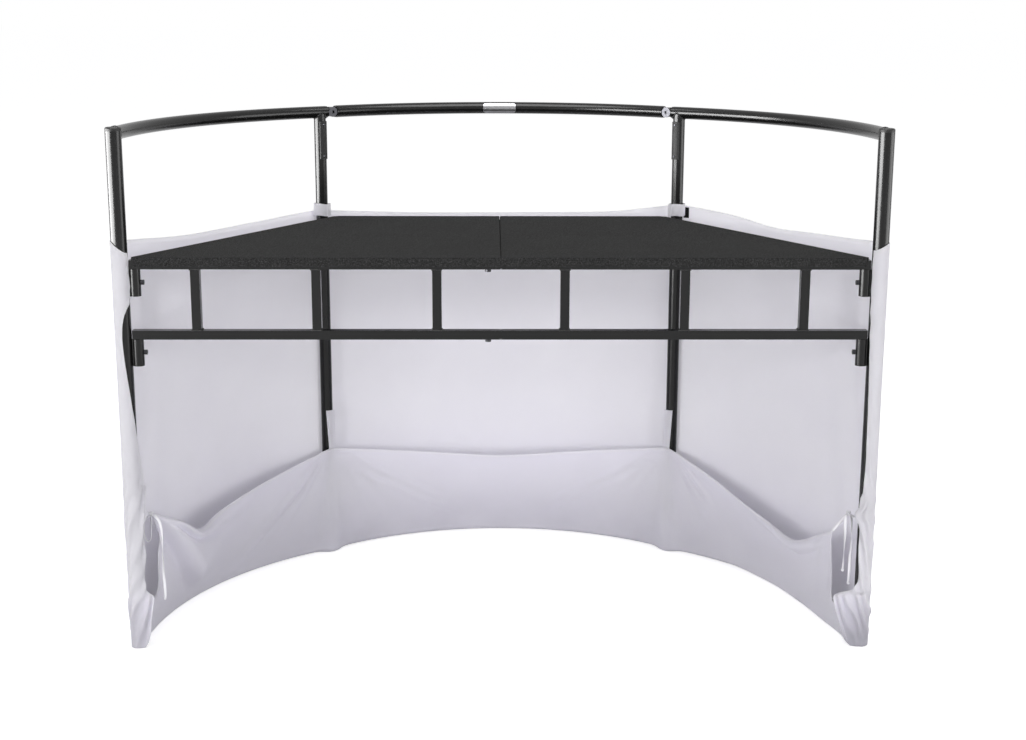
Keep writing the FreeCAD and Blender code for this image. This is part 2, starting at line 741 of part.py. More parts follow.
def make_all():
    pieces = {}
    both_sides(pieces, "end_post", make_end_post())
    both_sides(pieces, "mid_post", make_mid_post())
    cap = make_post_cap()
    pieces["post_caps"] = Part.makeCompound([cap, mirrored(cap)])
    end_foot = make_end_foot()
    mid_foot = make_mid_foot()
    pieces["feet"] = Part.makeCompound([end_foot, mirrored(end_foot), mid_foot, mirrored(mid_foot)])
    for level, height in (("top", top_rail_height), ("bottom", bottom_rail_height)):
        both_sides(pieces, level + "_rail", make_wing_rail(height))
        both_sides(pieces, level + "_rail_bolt", make_rail_bolt(height))
        pieces["centre_" + level + "_rail"] = make_centre_rail(height)
    lugs = Part.makeCompound([make_lug(height) for height in (top_rail_height, bottom_rail_height)])
    both_sides(pieces, "rail_lugs", lugs)
    both_sides(pieces, "strap_plate", make_strap_plate())
    pieces["badge_plate"] = make_badge()
    both_sides(pieces, "ledge", make_ledge())

    seats = (("upper", tube_bottom), ("lower", lower_bottom))
    pins = []
    for level, seat in seats:
        both_sides(pieces, level + "_sleeve", make_sleeve(seat))
        both_sides(pieces, level + "_clamp_screw", make_clamp_screw(seat))
        pin = make_pin(seat)
        pins += [pin, mirrored(pin)]
        tube = make_row_tube(seat)
        way = seam_bolt_way(seat)
        pieces["right_%s_tube" % level] = tube.fuse(make_spigot(seat)).cut(way)
        pieces["left_%s_tube" % level] = mirrored(tube).cut(way)
        pieces[level + "_seam_bolt"] = make_seam_bolt(seat)
    pieces["table_pins"] = Part.makeCompound(pins)
    both_sides(pieces, "deck", make_deck())
    both_sides(pieces, "side_tube", make_side_tube())
    both_sides(pieces, "rear_tube", make_rear_tube())
    struts = [make_strut(strut_first + strut_pitch * index) for index in range(strut_count)]
    both_sides(pieces, "struts", Part.makeCompound(struts))

    kink = wing_arc.heading(0).getAngle(centre_arc.heading(centre_arc.span))
    inset = cover_outside * math.tan(kink / 2) + cloth_gap / 2
    both_sides(pieces, "cover", make_cover(wing_arc, inset, wing_arc.span, wing_cover_sag_shares))
    pieces["centre_cover"] = make_cover(centre_arc, inset, centre_arc.span - inset,
                                        centre_cover_sag_shares)
    both_sides(pieces, "end_wrap", make_wrap())
    both_sides(pieces, "post_strap", make_post_strap())
    pieces["right_flap"] = make_flap(wing_arc, wing_bow, inset, flap_finish, right_station_shares)
    pieces["left_flap"] = mirrored(make_flap(wing_arc, wing_bow, inset, flap_finish,
                                             left_station_shares))
    flap = make_flap(centre_arc, centre_bow, inset, centre_arc.span - inset, centre_station_shares)
    tab = make_flap_tab()
    pieces["centre_flap"] = Part.makeCompound([flap, tab, mirrored(tab)])

    knot = Part.makeSphere(tie_knot_radius, tie_knot())
    pieces["tie_knots"] = Part.makeCompound([knot, mirrored(knot), make_bow(), make_link()])
    pieces["left_tie_tail"] = make_tail("left_tie_tail", -1, left_tail_route)
    pieces["right_tie_tail"] = make_tail("right_tie_tail", 1, right_tail_route)
    pieces["right_short_tie_tail"] = make_tail("right_short_tie_tail", 1, short_tail_route)
    return pieces


os.makedirs("parts", exist_ok=True)
for name, shape in make_all().items():
    shape.exportStep("parts/%s.step" % name)
    print(name, len(shape.Solids), shape.isValid(), round(shape.Volume / 1000, 2))
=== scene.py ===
import bpy
import json
import math
from mathutils import Matrix, Vector


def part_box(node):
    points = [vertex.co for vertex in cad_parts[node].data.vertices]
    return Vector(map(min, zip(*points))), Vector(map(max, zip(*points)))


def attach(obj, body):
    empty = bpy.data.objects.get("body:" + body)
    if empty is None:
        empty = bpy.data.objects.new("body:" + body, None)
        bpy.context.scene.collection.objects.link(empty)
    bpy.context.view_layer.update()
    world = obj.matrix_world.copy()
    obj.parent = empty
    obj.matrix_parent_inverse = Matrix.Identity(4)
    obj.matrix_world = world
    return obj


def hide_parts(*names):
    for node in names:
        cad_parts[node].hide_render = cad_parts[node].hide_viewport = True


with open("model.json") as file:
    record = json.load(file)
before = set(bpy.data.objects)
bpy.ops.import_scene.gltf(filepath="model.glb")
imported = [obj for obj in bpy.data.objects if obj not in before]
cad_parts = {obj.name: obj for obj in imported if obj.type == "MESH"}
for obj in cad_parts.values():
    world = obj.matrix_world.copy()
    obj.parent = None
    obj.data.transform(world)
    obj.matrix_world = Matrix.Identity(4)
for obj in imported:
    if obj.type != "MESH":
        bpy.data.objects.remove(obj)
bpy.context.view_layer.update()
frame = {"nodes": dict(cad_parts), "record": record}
nodes = frame["nodes"]
UP = Vector((0, 0, 1))

# The photograph's width in pixels and the camera that fits it
photo_width = 1026
focal_pixels = 1619
sensor_width = 36.0
camera_from_mid_line = Vector((-0.0191, -4.1378, 1.4664))
camera_pitch = math.radians(13.175)
camera_yaw = math.radians(-0.754)
camera_roll = math.radians(0.155)

# Cloth sizes, in metres
wing_bow = 0.094
cloth_thickness = 0.0012
cloth_gap = 0.0005
hem_height = 0.0044
hem_width = 0.0065
hem_slack = 0.003
cover_top = 0.929
tie_height = 0.314


# Places and sizes taken from the frame

def box_middle(node):
    low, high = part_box(node)
    return (low + high) / 2


def box_size(node):
    low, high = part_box(node)
    return high - low


def on_floor(point):
    return Vector((point.x, point.y, 0))


def mirrored(point):
    return Vector((-point.x, point.y, point.z))


def on_side(side, point):
    """A point of the right half, or its mirror image on the left."""
    return point if side > 0 else mirrored(point)


right_mid = on_floor(box_middle("right_mid_post"))
right_end = on_floor(box_middle("right_end_post"))
mid_line = right_mid.y
mid_post_radius = box_size("right_mid_post").x / 2
end_post_radius = box_size("right_end_post").x / 2
rail_radius = box_size("right_top_rail").z / 2
centre_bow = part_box("centre_top_rail")[1].y - rail_radius - mid_line
top_rail_height = box_middle("right_top_rail").z
bottom_rail_height = box_middle("right_bottom_rail").z
cover_offset = end_post_radius + cloth_gap + cloth_thickness / 2
hug_radius = rail_radius + cloth_gap + cloth_thickness / 2


class PlanArc:
    """A level arc from start to end that bows to the left of its travel."""

    def __init__(self, start, end, bow):
        chord = end - start
        half = chord.length / 2
        self.chord_outward = Vector((-chord.y, chord.x, 0)).normalized()
        self.radius = (half ** 2 + bow ** 2) / (2 * bow)
        self.centre = (start + end) / 2 + self.chord_outward * (bow - self.radius)
        self.half_angle = math.asin(half / self.radius)
        self.span = 2 * self.half_angle * self.radius

    def outward(self, length):
        turn = self.half_angle - length / self.radius
        return Matrix.Rotation(turn, 3, "Z") @ self.chord_outward

    def heading(self, length):
        return self.outward(length).cross(UP)

    def at(self, length, offset=0.0, height=0.0):
        return self.centre + self.outward(length) * (self.radius + offset) + UP * height


centre_arc = PlanArc(mirrored(right_mid), right_mid, centre_bow)
wing_arc = PlanArc(right_mid, right_end, wing_bow)


class SmoothLine:
    """Smooth curve through a few (place, value) points, level past both ends."""

    def __init__(self, *points):
        self.points = points
        self.slopes = []
        for index in range(len(points)):
            x0, y0 = points[max(index - 1, 0)]
            x1, y1 = points[min(index + 1, len(points) - 1)]
            self.slopes.append((y1 - y0) / (x1 - x0))

    def __call__(self, place):
        if place <= self.points[0][0]:
            return self.points[0][1]
        for index in range(len(self.points) - 1):
            x0, y0 = self.points[index]
            x1, y1 = self.points[index + 1]
            if place <= x1:
                step = x1 - x0
                t = (place - x0) / step
                rise = (1 + 2 * t) * (1 - t) ** 2 * y0 + t * t * (3 - 2 * t) * y1
                lead = t * (1 - t) ** 2 * self.slopes[index] + t * t * (t - 1) * self.slopes[index + 1]
                return rise + lead * step
        return self.points[-1][1]


def smooth(low, high, value):
    """0 below low, 1 above high, and an even rise between them."""
    share = min(max((value - low) / (high - low), 0.0), 1.0)
    return share * share * (3 - 2 * share)


def bell(centre, width, value):
    return math.exp(-((value - centre) / width) ** 2)


def swell(shape, value):
    """Smooth swelling, given as its size, its middle and its half width."""
    size, middle, width = shape
    return size * bell(middle, width, value)


def ridged(ridges, value):
    """Sum of several swellings."""
    return sum(swell(ridge, value) for ridge in ridges)


def wave(shape, place, start=0.0):
    """Sine wave, given as its size and its turn in radians for each unit of place."""
    size, turn = shape
    return size * math.sin(turn * place + start)


def ripple(angle):
    """Wave between 0 and 1."""
    return 0.5 + 0.5 * math.sin(angle)


def arch(share):
    """Half wave that rises and falls once as a share goes from 0 to 1."""
    return math.sin(math.pi * min(share, 1.0))


# Meshes

def new_piece(name, mesh, material, body="facade"):
    piece = bpy.data.objects.new(name, mesh)
    bpy.context.scene.collection.objects.link(piece)
    mesh.materials.clear()
    mesh.materials.append(material)
    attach(piece, body)
    return piece


def run_lengths(points):
    """Distance along a run of points, from its start to each of them."""
    lengths = [0.0]
    for before, after in zip(points, points[1:]):
        lengths.append(lengths[-1] + (after - before).length)
    return lengths


def grid_mesh(name, columns, rows, place, masks=None, keep=None):
    """Sheet of columns by rows quads, with a weave map in metres and masks such as its hems."""
    points = [[place(column, row) for row in range(rows + 1)] for column in range(columns + 1)]
    step = rows + 1
    flat = [point for line in points for point in line]
    faces = [(c * step + r, (c + 1) * step + r, (c + 1) * step + r + 1, c * step + r + 1)
             for c in range(columns) for r in range(rows)]
    if keep:
        faces = [face for face in faces if keep(sum((flat[index] for index in face), Vector()) / 4)]
    mesh = bpy.data.meshes.new(name)
    mesh.from_pydata(flat, [], faces)
    along = run_lengths([line[rows // 2] for line in points])
    up = run_lengths(points[columns // 2])
    weave = mesh.uv_layers.new(name="weave")
    for loop in mesh.loops:
        weave.data[loop.index].uv = (along[loop.vertex_index // step], up[loop.vertex_index % step])
    for mask_name, amount in (masks or {}).items():
        mask = mesh.attributes.new(mask_name, "FLOAT", "POINT")
        for index, item in enumerate(mask.data):
            item.value = amount(index // step, index % step)
    mesh.shade_smooth()
    return mesh


def skin_mesh(name, rings, closed=False):
    """Skin over a run of equal rings, closed into a loop or capped at both ends."""
    sides = len(rings[0])
    count = len(rings)
    faces = []
    for index in range(count if closed else count - 1):
        here = index * sides
        there = (index + 1) % count * sides
        faces += [(here + side, here + (side + 1) % sides, there + (side + 1) % sides, there + side)
                  for side in range(sides)]
    if not closed:
        faces += [tuple(reversed(range(sides))), tuple(range((count - 1) * sides, count * sides))]
    mesh = bpy.data.meshes.new(name)
    mesh.from_pydata([point for ring in rings for point in ring], [], faces)
    along = run_lengths([sum(ring, Vector()) / sides for ring in rings])
    around = run_lengths(rings[0])
    weave = mesh.uv_layers.new(name="weave")
    for loop in mesh.loops:
        weave.data[loop.index].uv = (around[loop.vertex_index % sides], along[loop.vertex_index // sides])
    mesh.shade_smooth()
    return mesh


def joined_mesh(name, meshes):
    """One mesh made of several, with their weave maps."""
    points, faces, weaves = [], [], []
    for mesh in meshes:
        start = len(points)
        points += [vertex.co.copy() for vertex in mesh.vertices]
        faces += [tuple(start + index for index in face.vertices) for face in mesh.polygons]
        weaves += [loop.uv.copy() for loop in mesh.uv_layers["weave"].data]
        bpy.data.meshes.remove(mesh)
    whole = bpy.data.meshes.new(name)
    whole.from_pydata(points, [], faces)
    weave = whole.uv_layers.new(name="weave")
    for loop, place in zip(weave.data, weaves):
        loop.uv = place
    whole.shade_smooth()
    return whole


def thicken(piece):
    solidify = piece.modifiers.new("cloth_thickness", "SOLIDIFY")
    solidify.thickness = cloth_thickness
    solidify.offset = 0.0


# Shader node groups shared by the materials

def start_group(name, inputs, outputs):
    group = bpy.data.node_groups.new(name, "ShaderNodeTree")
    for socket_name, kind, value in inputs:
        socket = group.interface.new_socket(socket_name, in_out="INPUT", socket_type=kind)
        socket.default_value = value
    for socket_name, kind in outputs:
        group.interface.new_socket(socket_name, in_out="OUTPUT", socket_type=kind)
    return group, group.nodes.new("NodeGroupInput").outputs, group.nodes.new("NodeGroupOutput").inputs


def feed(tree, socket, value):
    """Link a socket, or set its own value."""
    if isinstance(value, bpy.types.NodeSocket):
        tree.links.new(value, socket)
    else:
        socket.default_value = value


def noise_node(tree, vector, scale, detail=2.0, roughness=0.5):
    node = tree.nodes.new("ShaderNodeTexNoise")
    feed(tree, node.inputs["Vector"], vector)
    feed(tree, node.inputs["Scale"], scale)
    feed(tree, node.inputs["Detail"], detail)
    feed(tree, node.inputs["Roughness"], roughness)
    return node.outputs["Fac"]


def math_node(tree, operation, first, second=0.0):
    node = tree.nodes.new("ShaderNodeMath")
    node.operation = operation
    feed(tree, node.inputs[0], first)
    feed(tree, node.inputs[1], second)
    return node.outputs[0]


def range_node(tree, value, low, high, from_low=0.0, from_high=1.0):
    node = tree.nodes.new("ShaderNodeMapRange")
    for name, limit in (("Value", value), ("From Min", from_low), ("From Max", from_high),
                        ("To Min", low), ("To Max", high)):
        feed(tree, node.inputs[name], limit)
    return node.outputs["Result"]


def mix_colour(tree, share, first, second):
    node = tree.nodes.new("ShaderNodeMix")
    node.data_type = "RGBA"
    for index, value in ((0, share), (6, first), (7, second)):
        feed(tree, node.inputs[index], value)
    return node.outputs[2]


surface_outputs = (("Color", "NodeSocketColor"), ("Roughness", "NodeSocketFloat"),
                   ("Height", "NodeSocketFloat"))
rubbed_coat = (0.04, 0.04, 0.04, 1)
hem_white = (0.92, 0.91, 0.95, 1)
# Greyish lavender painted on the cloth near the floor as shade
painted_floor_shade = (0.24, 0.235, 0.26, 1)


def make_sprayed_coat():
    """Sprayed coat: fine orange peel, a drifting gloss, a patchy tint and pale rubbed specks."""
    inputs = (("Vector", "NodeSocketVector", (0, 0, 0)), ("Peel Scale", "NodeSocketFloat", 900.0),
              ("Dark", "NodeSocketColor", (0.01, 0.01, 0.01, 1)),
              ("Light", "NodeSocketColor", (0.02, 0.02, 0.02, 1)),
              ("Smoothest", "NodeSocketFloat", 0.25), ("Roughest", "NodeSocketFloat", 0.4))
    group, enter, leave = start_group("sprayed_coat", inputs, surface_outputs)
    patches = noise_node(group, enter["Vector"], scale=14.0, detail=4.0)
    peel = noise_node(group, enter["Vector"], enter["Peel Scale"])
    scuffs = noise_node(group, enter["Vector"], scale=90.0, detail=4.0, roughness=0.6)
    grit = noise_node(group, enter["Vector"], scale=620.0, detail=3.0, roughness=0.7)
    specks = range_node(group, grit, 0.0, 1.0, from_low=0.72, from_high=0.84)
    rubbing = range_node(group, scuffs, 0.0, 0.35, from_low=0.5, from_high=0.7)
    rubbed = math_node(group, "MULTIPLY", specks, rubbing)
    tint = mix_colour(group, patches, enter["Dark"], enter["Light"])
    gloss = range_node(group, patches, enter["Smoothest"], enter["Roughest"], from_low=0.3, from_high=0.7)
    feed(group, leave["Color"], mix_colour(group, rubbed, tint, rubbed_coat))
    feed(group, leave["Roughness"], gloss)
    feed(group, leave["Height"], peel)
    return group


def make_stretch_knit():
    """Stretch knit: fine ribs and courses along the weave map, slubs, paler hems and painted shade near the
    floor.
    """
    inputs = (("Weave", "NodeSocketVector", (0, 0, 0)), ("Vector", "NodeSocketVector", (0, 0, 0)),
              ("Hem", "NodeSocketFloat", 0.0), ("Painted Shade", "NodeSocketFloat", 0.0),
              ("Ribs Per Metre", "NodeSocketFloat", 1400.0),
              ("Shade", "NodeSocketColor", (0.7, 0.7, 0.75, 1)),
              ("Light", "NodeSocketColor", (0.8, 0.8, 0.85, 1)))
    group, enter, leave = start_group("stretch_knit", inputs, surface_outputs)
    split = group.nodes.new("ShaderNodeSeparateXYZ")
    feed(group, split.inputs[0], enter["Weave"])
    turns = math_node(group, "MULTIPLY", enter["Ribs Per Metre"], 2 * math.pi)
    ribs = math_node(group, "SINE", math_node(group, "MULTIPLY", split.outputs["X"], turns))
    courses = math_node(group, "SINE", math_node(group, "MULTIPLY", split.outputs["Y"], turns))
    loop_depth = 0.5
    loops = math_node(group, "MULTIPLY", math_node(group, "MULTIPLY", ribs, courses), loop_depth)
    drift = noise_node(group, enter["Vector"], scale=6.0, detail=3.0)
    slubs = noise_node(group, enter["Vector"], scale=420.0)
    drift_share = 0.75
    tone = math_node(group, "ADD", math_node(group, "MULTIPLY", drift, drift_share),
                     math_node(group, "MULTIPLY", slubs, 1 - drift_share))
    cloth = mix_colour(group, tone, enter["Shade"], enter["Light"])
    hemmed = mix_colour(group, enter["Hem"], cloth, hem_white)
    patchy = range_node(group, drift, 0.4, 0.8, from_low=0.3, from_high=0.7)
    # Painted shade near the floor, made patchy by the drift
    shade_share = math_node(group, "MULTIPLY", enter["Painted Shade"], patchy)
    feed(group, leave["Color"], mix_colour(group, shade_share, hemmed, painted_floor_shade))
    feed(group, leave["Roughness"], range_node(group, slubs, 0.72, 0.95))
    feed(group, leave["Height"], math_node(group, "ADD", loops, slubs))
    return group


def make_needle_felt():
    """Needle felt: crossing fibres, pale flecks among dark ones, and matted patches."""
    inputs = (("Vector", "NodeSocketVector", (0, 0, 0)), ("Fibre Scale", "NodeSocketFloat", 640.0),
              ("Dark", "NodeSocketColor", (0.01, 0.01, 0.01, 1)),
              ("Light", "NodeSocketColor", (0.06, 0.06, 0.06, 1)))
    group, enter, leave = start_group("needle_felt", inputs, surface_outputs)
    fibres = noise_node(group, enter["Vector"], enter["Fibre Scale"], detail=6.0, roughness=0.75)
    clumps = noise_node(group, enter["Vector"], scale=420.0, detail=3.0, roughness=0.7)
    tufts = noise_node(group, enter["Vector"], scale=240.0, roughness=0.6)
    matting = noise_node(group, enter["Vector"], scale=9.0, detail=3.0)
    pale = range_node(group, fibres, 0.0, 1.0, from_low=0.35, from_high=0.68)
    clumped = range_node(group, clumps, 0.1, 1.0, from_low=0.38, from_high=0.66)
    flecks = math_node(group, "MULTIPLY", pale, clumped)
    tufted = range_node(group, tufts, 0.7, 1.3, from_low=0.3, from_high=0.7)
    worn = math_node(group, "MULTIPLY", tufted, range_node(group, matting, 0.75, 1.1))
    tone = math_node(group, "MULTIPLY", flecks, worn)
    feed(group, leave["Color"], mix_colour(group, tone, enter["Dark"], enter["Light"]))
    feed(group, leave["Roughness"], range_node(group, fibres, 0.85, 1.0))
    feed(group, leave["Height"], math_node(group, "ADD", fibres, clumps))
    return group


sprayed_coat = make_sprayed_coat()
stretch_knit = make_stretch_knit()
needle_felt = make_needle_felt()


# Materials

def grey(value, blue=1.0):
    return (value, value, value * blue, 1)


def start_material(name):
    material = bpy.data.materials.new(name)
    material.use_nodes = True
    tree = material.node_tree
    return material, tree, tree.nodes["Principled BSDF"].inputs, tree.nodes.new("ShaderNodeTexCoord").outputs


def place_group(tree, group, values):
    node = tree.nodes.new("ShaderNodeGroup")
    node.node_tree = group
    for name, value in values.items():
        feed(tree, node.inputs[name], value)
    return node.outputs


def add_bump(tree, shader, height, distance, strength):
    bump = tree.nodes.new("ShaderNodeBump")
    bump.inputs["Distance"].default_value = distance
    bump.inputs["Strength"].default_value = strength
    feed(tree, bump.inputs["Height"], height)
    feed(tree, shader["Normal"], bump.outputs["Normal"])


def finish_shader(tree, shader, surface, bump_distance, bump_strength):
    feed(tree, shader["Base Color"], surface["Color"])
    feed(tree, shader["Roughness"], surface["Roughness"])
    add_bump(tree, shader, surface["Height"], bump_distance, bump_strength)


def set_values(shader, values):
    for name, value in values.items():
        shader[name].default_value = value


def mask_node(tree, name):
    """Mask that a mesh carries for each of its points."""
    node = tree.nodes.new("ShaderNodeAttribute")
    node.attribute_name = name
    return node.outputs["Fac"]


def coat_material(name, dark, light, gloss, peel_scale=900.0, peel_depth=0.00001,
                  specular=0.25, metallic=0.0):
    material, tree, shader, coordinates = start_material(name)
    coat = place_group(tree, sprayed_coat, {"Vector": coordinates["Object"], "Peel Scale": peel_scale,
                                            "Dark": dark, "Light": light,
                                            "Smoothest": gloss[0], "Roughest": gloss[1]})
    set_values(shader, {"Metallic": metallic, "Specular IOR Level": specular})
    finish_shader(tree, shader, coat, peel_depth, bump_strength=0.12)
    return material


def cloth_material(name, shade, light, ribs_per_metre, light_through):
    """Thin cloth that scatters a share of the light through itself."""
    material, tree, shader, coordinates = start_material(name)
    weave = tree.nodes.new("ShaderNodeUVMap")
    weave.uv_map = "weave"
    knit = place_group(tree, stretch_knit, {"Weave": weave.outputs["UV"], "Vector": coordinates["Object"],
                                            "Hem": mask_node(tree, "hem"), "Painted Shade": mask_node(tree, "painted_shade"),
                                            "Ribs Per Metre": ribs_per_metre,
                                            "Shade": shade, "Light": light})
    set_values(shader, {"Sheen Weight": 0.1, "Sheen Roughness": 0.4, "Specular IOR Level": 0.2,
                        "Subsurface Weight": light_through, "Subsurface Radius": (1, 1, 1),
                        "Subsurface Scale": 0.006})
    finish_shader(tree, shader, knit, bump_distance=0.00015, bump_strength=0.35)
    return material


def felt_material(name, dark, light):
    material, tree, shader, coordinates = start_material(name)
    felt = place_group(tree, needle_felt, {"Vector": coordinates["Object"], "Dark": dark, "Light": light})
    set_values(shader, {"Sheen Weight": 0.01, "Sheen Roughness": 0.6, "Specular IOR Level": 0.03})
    finish_shader(tree, shader, felt, bump_distance=0.0004, bump_strength=0.7)
    return material


def brushed_material(name, dark, light):
    """Bare metal brushed along its length."""
    material, tree, shader, coordinates = start_material(name)
    stretch = tree.nodes.new("ShaderNodeMapping")
    stretch.inputs["Scale"].default_value = (12.0, 900.0, 900.0)
    feed(tree, stretch.inputs["Vector"], coordinates["Object"])
    lines = noise_node(tree, stretch.outputs["Vector"], scale=3.0, detail=4.0)
    feed(tree, shader["Base Color"], mix_colour(tree, lines, dark, light))
    feed(tree, shader["Roughness"], range_node(tree, lines, 0.22, 0.42))
    set_values(shader, {"Metallic": 1.0})
    add_bump(tree, shader, lines, distance=0.00003, strength=0.5)
    return material


black_coat = coat_material("black_powder_coat", grey(0.004), grey(0.008), gloss=(0.21, 0.25))
matte_steel = coat_material("matte_black_steel", grey(0.009), grey(0.018), gloss=(0.5, 0.7))
black_oxide = coat_material("black_oxide", grey(0.02, blue=1.1), grey(0.05, blue=1.1), gloss=(0.28, 0.45),
                            peel_scale=1500.0, peel_depth=0.00002, specular=0.5, metallic=1.0)
weld_metal = coat_material("coated_weld", grey(0.007), grey(0.014), gloss=(0.3, 0.5),
                           peel_scale=1300.0, peel_depth=0.00006)
cap_plastic = coat_material("cap_plastic", grey(0.009), grey(0.016), gloss=(0.4, 0.6), peel_scale=2200.0)
foot_rubber = coat_material("foot_rubber", grey(0.01), grey(0.02), gloss=(0.7, 0.9), peel_scale=700.0)
bare_metal = brushed_material("bare_plate_metal", grey(0.18, blue=1.03), grey(0.32, blue=1.03))
scrim = cloth_material("white_stretch_cloth", (0.765, 0.74, 0.85, 1), (0.845, 0.82, 0.935, 1),
                       ribs_per_metre=1400.0, light_through=0.85)
tape = cloth_material("tie_tape_cloth", (0.8, 0.79, 0.83, 1), (0.88, 0.87, 0.91, 1),
                      ribs_per_metre=900.0, light_through=0.0)
thread = coat_material("white_thread", (0.74, 0.73, 0.79, 1), (0.86, 0.85, 0.9, 1), gloss=(0.6, 0.8),
                       peel_scale=2600.0)
hook_tape = felt_material("black_hook_tape", grey(0.004), grey(0.05))
carpet = felt_material("dark_needle_felt", grey(0.006), grey(0.115))

slot_finishes = {"black_powder_coat": black_coat, "matte_black_steel": matte_steel,
                 "black_fastener": black_oxide, "black_cap": cap_plastic, "rubber_foot": foot_rubber,
                 "bare_plate": bare_metal, "carpeted_board": carpet, "scrim_cloth": scrim, "tie_tape": tape}
for subpart in frame["record"]["subparts"]:
    surface = nodes[subpart["node"]].data.materials
    surface.clear()
    surface.append(slot_finishes[subpart["material_slot"]])


# Geometry node trees: rows of stitches or weld beads, and small socket screws

def start_shape_tree(name, inputs):
    tree = bpy.data.node_groups.new(name, "GeometryNodeTree")
    tree.interface.new_socket("Guide", in_out="INPUT", socket_type="NodeSocketGeometry")
    for socket_name, kind in inputs:
        tree.interface.new_socket(socket_name, in_out="INPUT", socket_type=kind)
    tree.interface.new_socket("Shape", in_out="OUTPUT", socket_type="NodeSocketGeometry")
    return tree, tree.nodes.new("NodeGroupInput").outputs, tree.nodes.new("NodeGroupOutput").inputs


def shape_node(tree, kind, inputs):
    node = tree.nodes.new(kind)
    for name, value in inputs.items():
        feed(tree, node.inputs[name], value)
    return node


def end_shape_tree(tree, instances, finish, leave):
    real = shape_node(tree, "GeometryNodeRealizeInstances", {"Geometry": instances})
    dressed = shape_node(tree, "GeometryNodeSetMaterial", {"Geometry": real.outputs[0], "Material": finish})
    feed(tree, leave["Shape"], dressed.outputs[0])
    return tree


def make_bead_row():
    """Beads set along guide lines at a pitch, each a little different in size."""
    tree, enter, leave = start_shape_tree("bead_row", (
        ("Pitch", "NodeSocketFloat"), ("Bead Length", "NodeSocketFloat"), ("Bead Width", "NodeSocketFloat"),
        ("Variation", "NodeSocketFloat"), ("Finish", "NodeSocketMaterial")))
    lines = shape_node(tree, "GeometryNodeMeshToCurve", {"Mesh": enter["Guide"]})
    points = tree.nodes.new("GeometryNodeCurveToPoints")
    points.mode = "LENGTH"
    feed(tree, points.inputs["Curve"], lines.outputs[0])
    feed(tree, points.inputs["Length"], enter["Pitch"])
    bead = shape_node(tree, "GeometryNodeMeshIcoSphere", {"Radius": 0.5, "Subdivisions": 2})
    soft = shape_node(tree, "GeometryNodeSetShadeSmooth", {"Geometry": bead.outputs["Mesh"]})
    least = math_node(tree, "SUBTRACT", 1.0, enter["Variation"])
    most = math_node(tree, "ADD", 1.0, enter["Variation"])
    luck = tree.nodes.new("FunctionNodeRandomValue")
    feed(tree, luck.inputs[2], least)
    feed(tree, luck.inputs[3], most)
    luck.inputs["Seed"].default_value = 4
    width = math_node(tree, "MULTIPLY", enter["Bead Width"], luck.outputs[1])
    size = shape_node(tree, "ShaderNodeCombineXYZ", {"X": width, "Y": width, "Z": enter["Bead Length"]})
    row = shape_node(tree, "GeometryNodeInstanceOnPoints", {
        "Points": points.outputs["Points"], "Instance": soft.outputs[0],
        "Rotation": points.outputs["Rotation"], "Scale": size.outputs[0]})
    return end_shape_tree(tree, row.outputs[0], enter["Finish"], leave)


def make_socket_screws():
    """Low domed screw heads with a hexagonal socket, set on guide points that carry a facing."""
    tree, enter, leave = start_shape_tree("socket_screws", (
        ("Head Radius", "NodeSocketFloat"), ("Head Height", "NodeSocketFloat"),
        ("Finish", "NodeSocketMaterial")))
    crown_share = 0.72
    socket_share = 0.46
    crown = math_node(tree, "MULTIPLY", enter["Head Radius"], crown_share)
    head = shape_node(tree, "GeometryNodeMeshCone", {
        "Vertices": 28, "Radius Top": crown, "Radius Bottom": enter["Head Radius"],
        "Depth": enter["Head Height"]})
    socket_radius = math_node(tree, "MULTIPLY", enter["Head Radius"], socket_share)
    socket = shape_node(tree, "GeometryNodeMeshCylinder", {
        "Vertices": 6, "Radius": socket_radius, "Depth": enter["Head Height"]})
    lift = shape_node(tree, "ShaderNodeCombineXYZ", {"Z": enter["Head Height"]})
    raised = shape_node(tree, "GeometryNodeTransform", {
        "Geometry": socket.outputs["Mesh"], "Translation": lift.outputs[0]})
    cut = tree.nodes.new("GeometryNodeMeshBoolean")
    cut.operation = "DIFFERENCE"
    cut.solver = "EXACT"
    feed(tree, cut.inputs[0], head.outputs["Mesh"])
    feed(tree, cut.inputs[1], raised.outputs[0])
    facing = tree.nodes.new("GeometryNodeInputNamedAttribute")
    facing.data_type = "FLOAT_VECTOR"
    facing.inputs["Name"].default_value = "facing"
    turn = tree.nodes.new("FunctionNodeAlignRotationToVector")
    turn.axis = "Z"
    feed(tree, turn.inputs["Vector"], facing.outputs[0])
    heads = shape_node(tree, "GeometryNodeInstanceOnPoints", {
        "Points": enter["Guide"], "Instance": cut.outputs[0], "Rotation": turn.outputs[0]})
    return end_shape_tree(tree, heads.outputs[0], enter["Finish"], leave)


bead_row = make_bead_row()
socket_screws = make_socket_screws()


def line_guide(name, lines):
    """Guide mesh of open lines of points."""
    points, edges = [], []
    for line in lines:
        start = len(points)
        points += line
        edges += [(start + index, start + index + 1) for index in range(len(line) - 1)]
    mesh = bpy.data.meshes.new(name)
    mesh.from_pydata(points, edges, [])
    return mesh


def grown_piece(name, guide, tree, values, body="facade"):
    """Piece that a geometry node tree grows on a guide mesh, as a plain mesh."""
    grower = bpy.data.objects.new(name + "_grower", guide)
    bpy.context.scene.collection.objects.link(grower)
    modifier = grower.modifiers.new("shape", "NODES")
    modifier.node_group = tree
    for item in tree.interface.items_tree:
        if item.in_out == "INPUT" and item.name in values:
            modifier[item.identifier] = values[item.name]
    seen = grower.evaluated_get(bpy.context.evaluated_depsgraph_get())
    mesh = bpy.data.meshes.new_from_object(seen)
    bpy.data.objects.remove(grower)
    bpy.data.meshes.remove(guide)
    mesh.name = name
    return new_piece(name, mesh, values["Finish"], body)


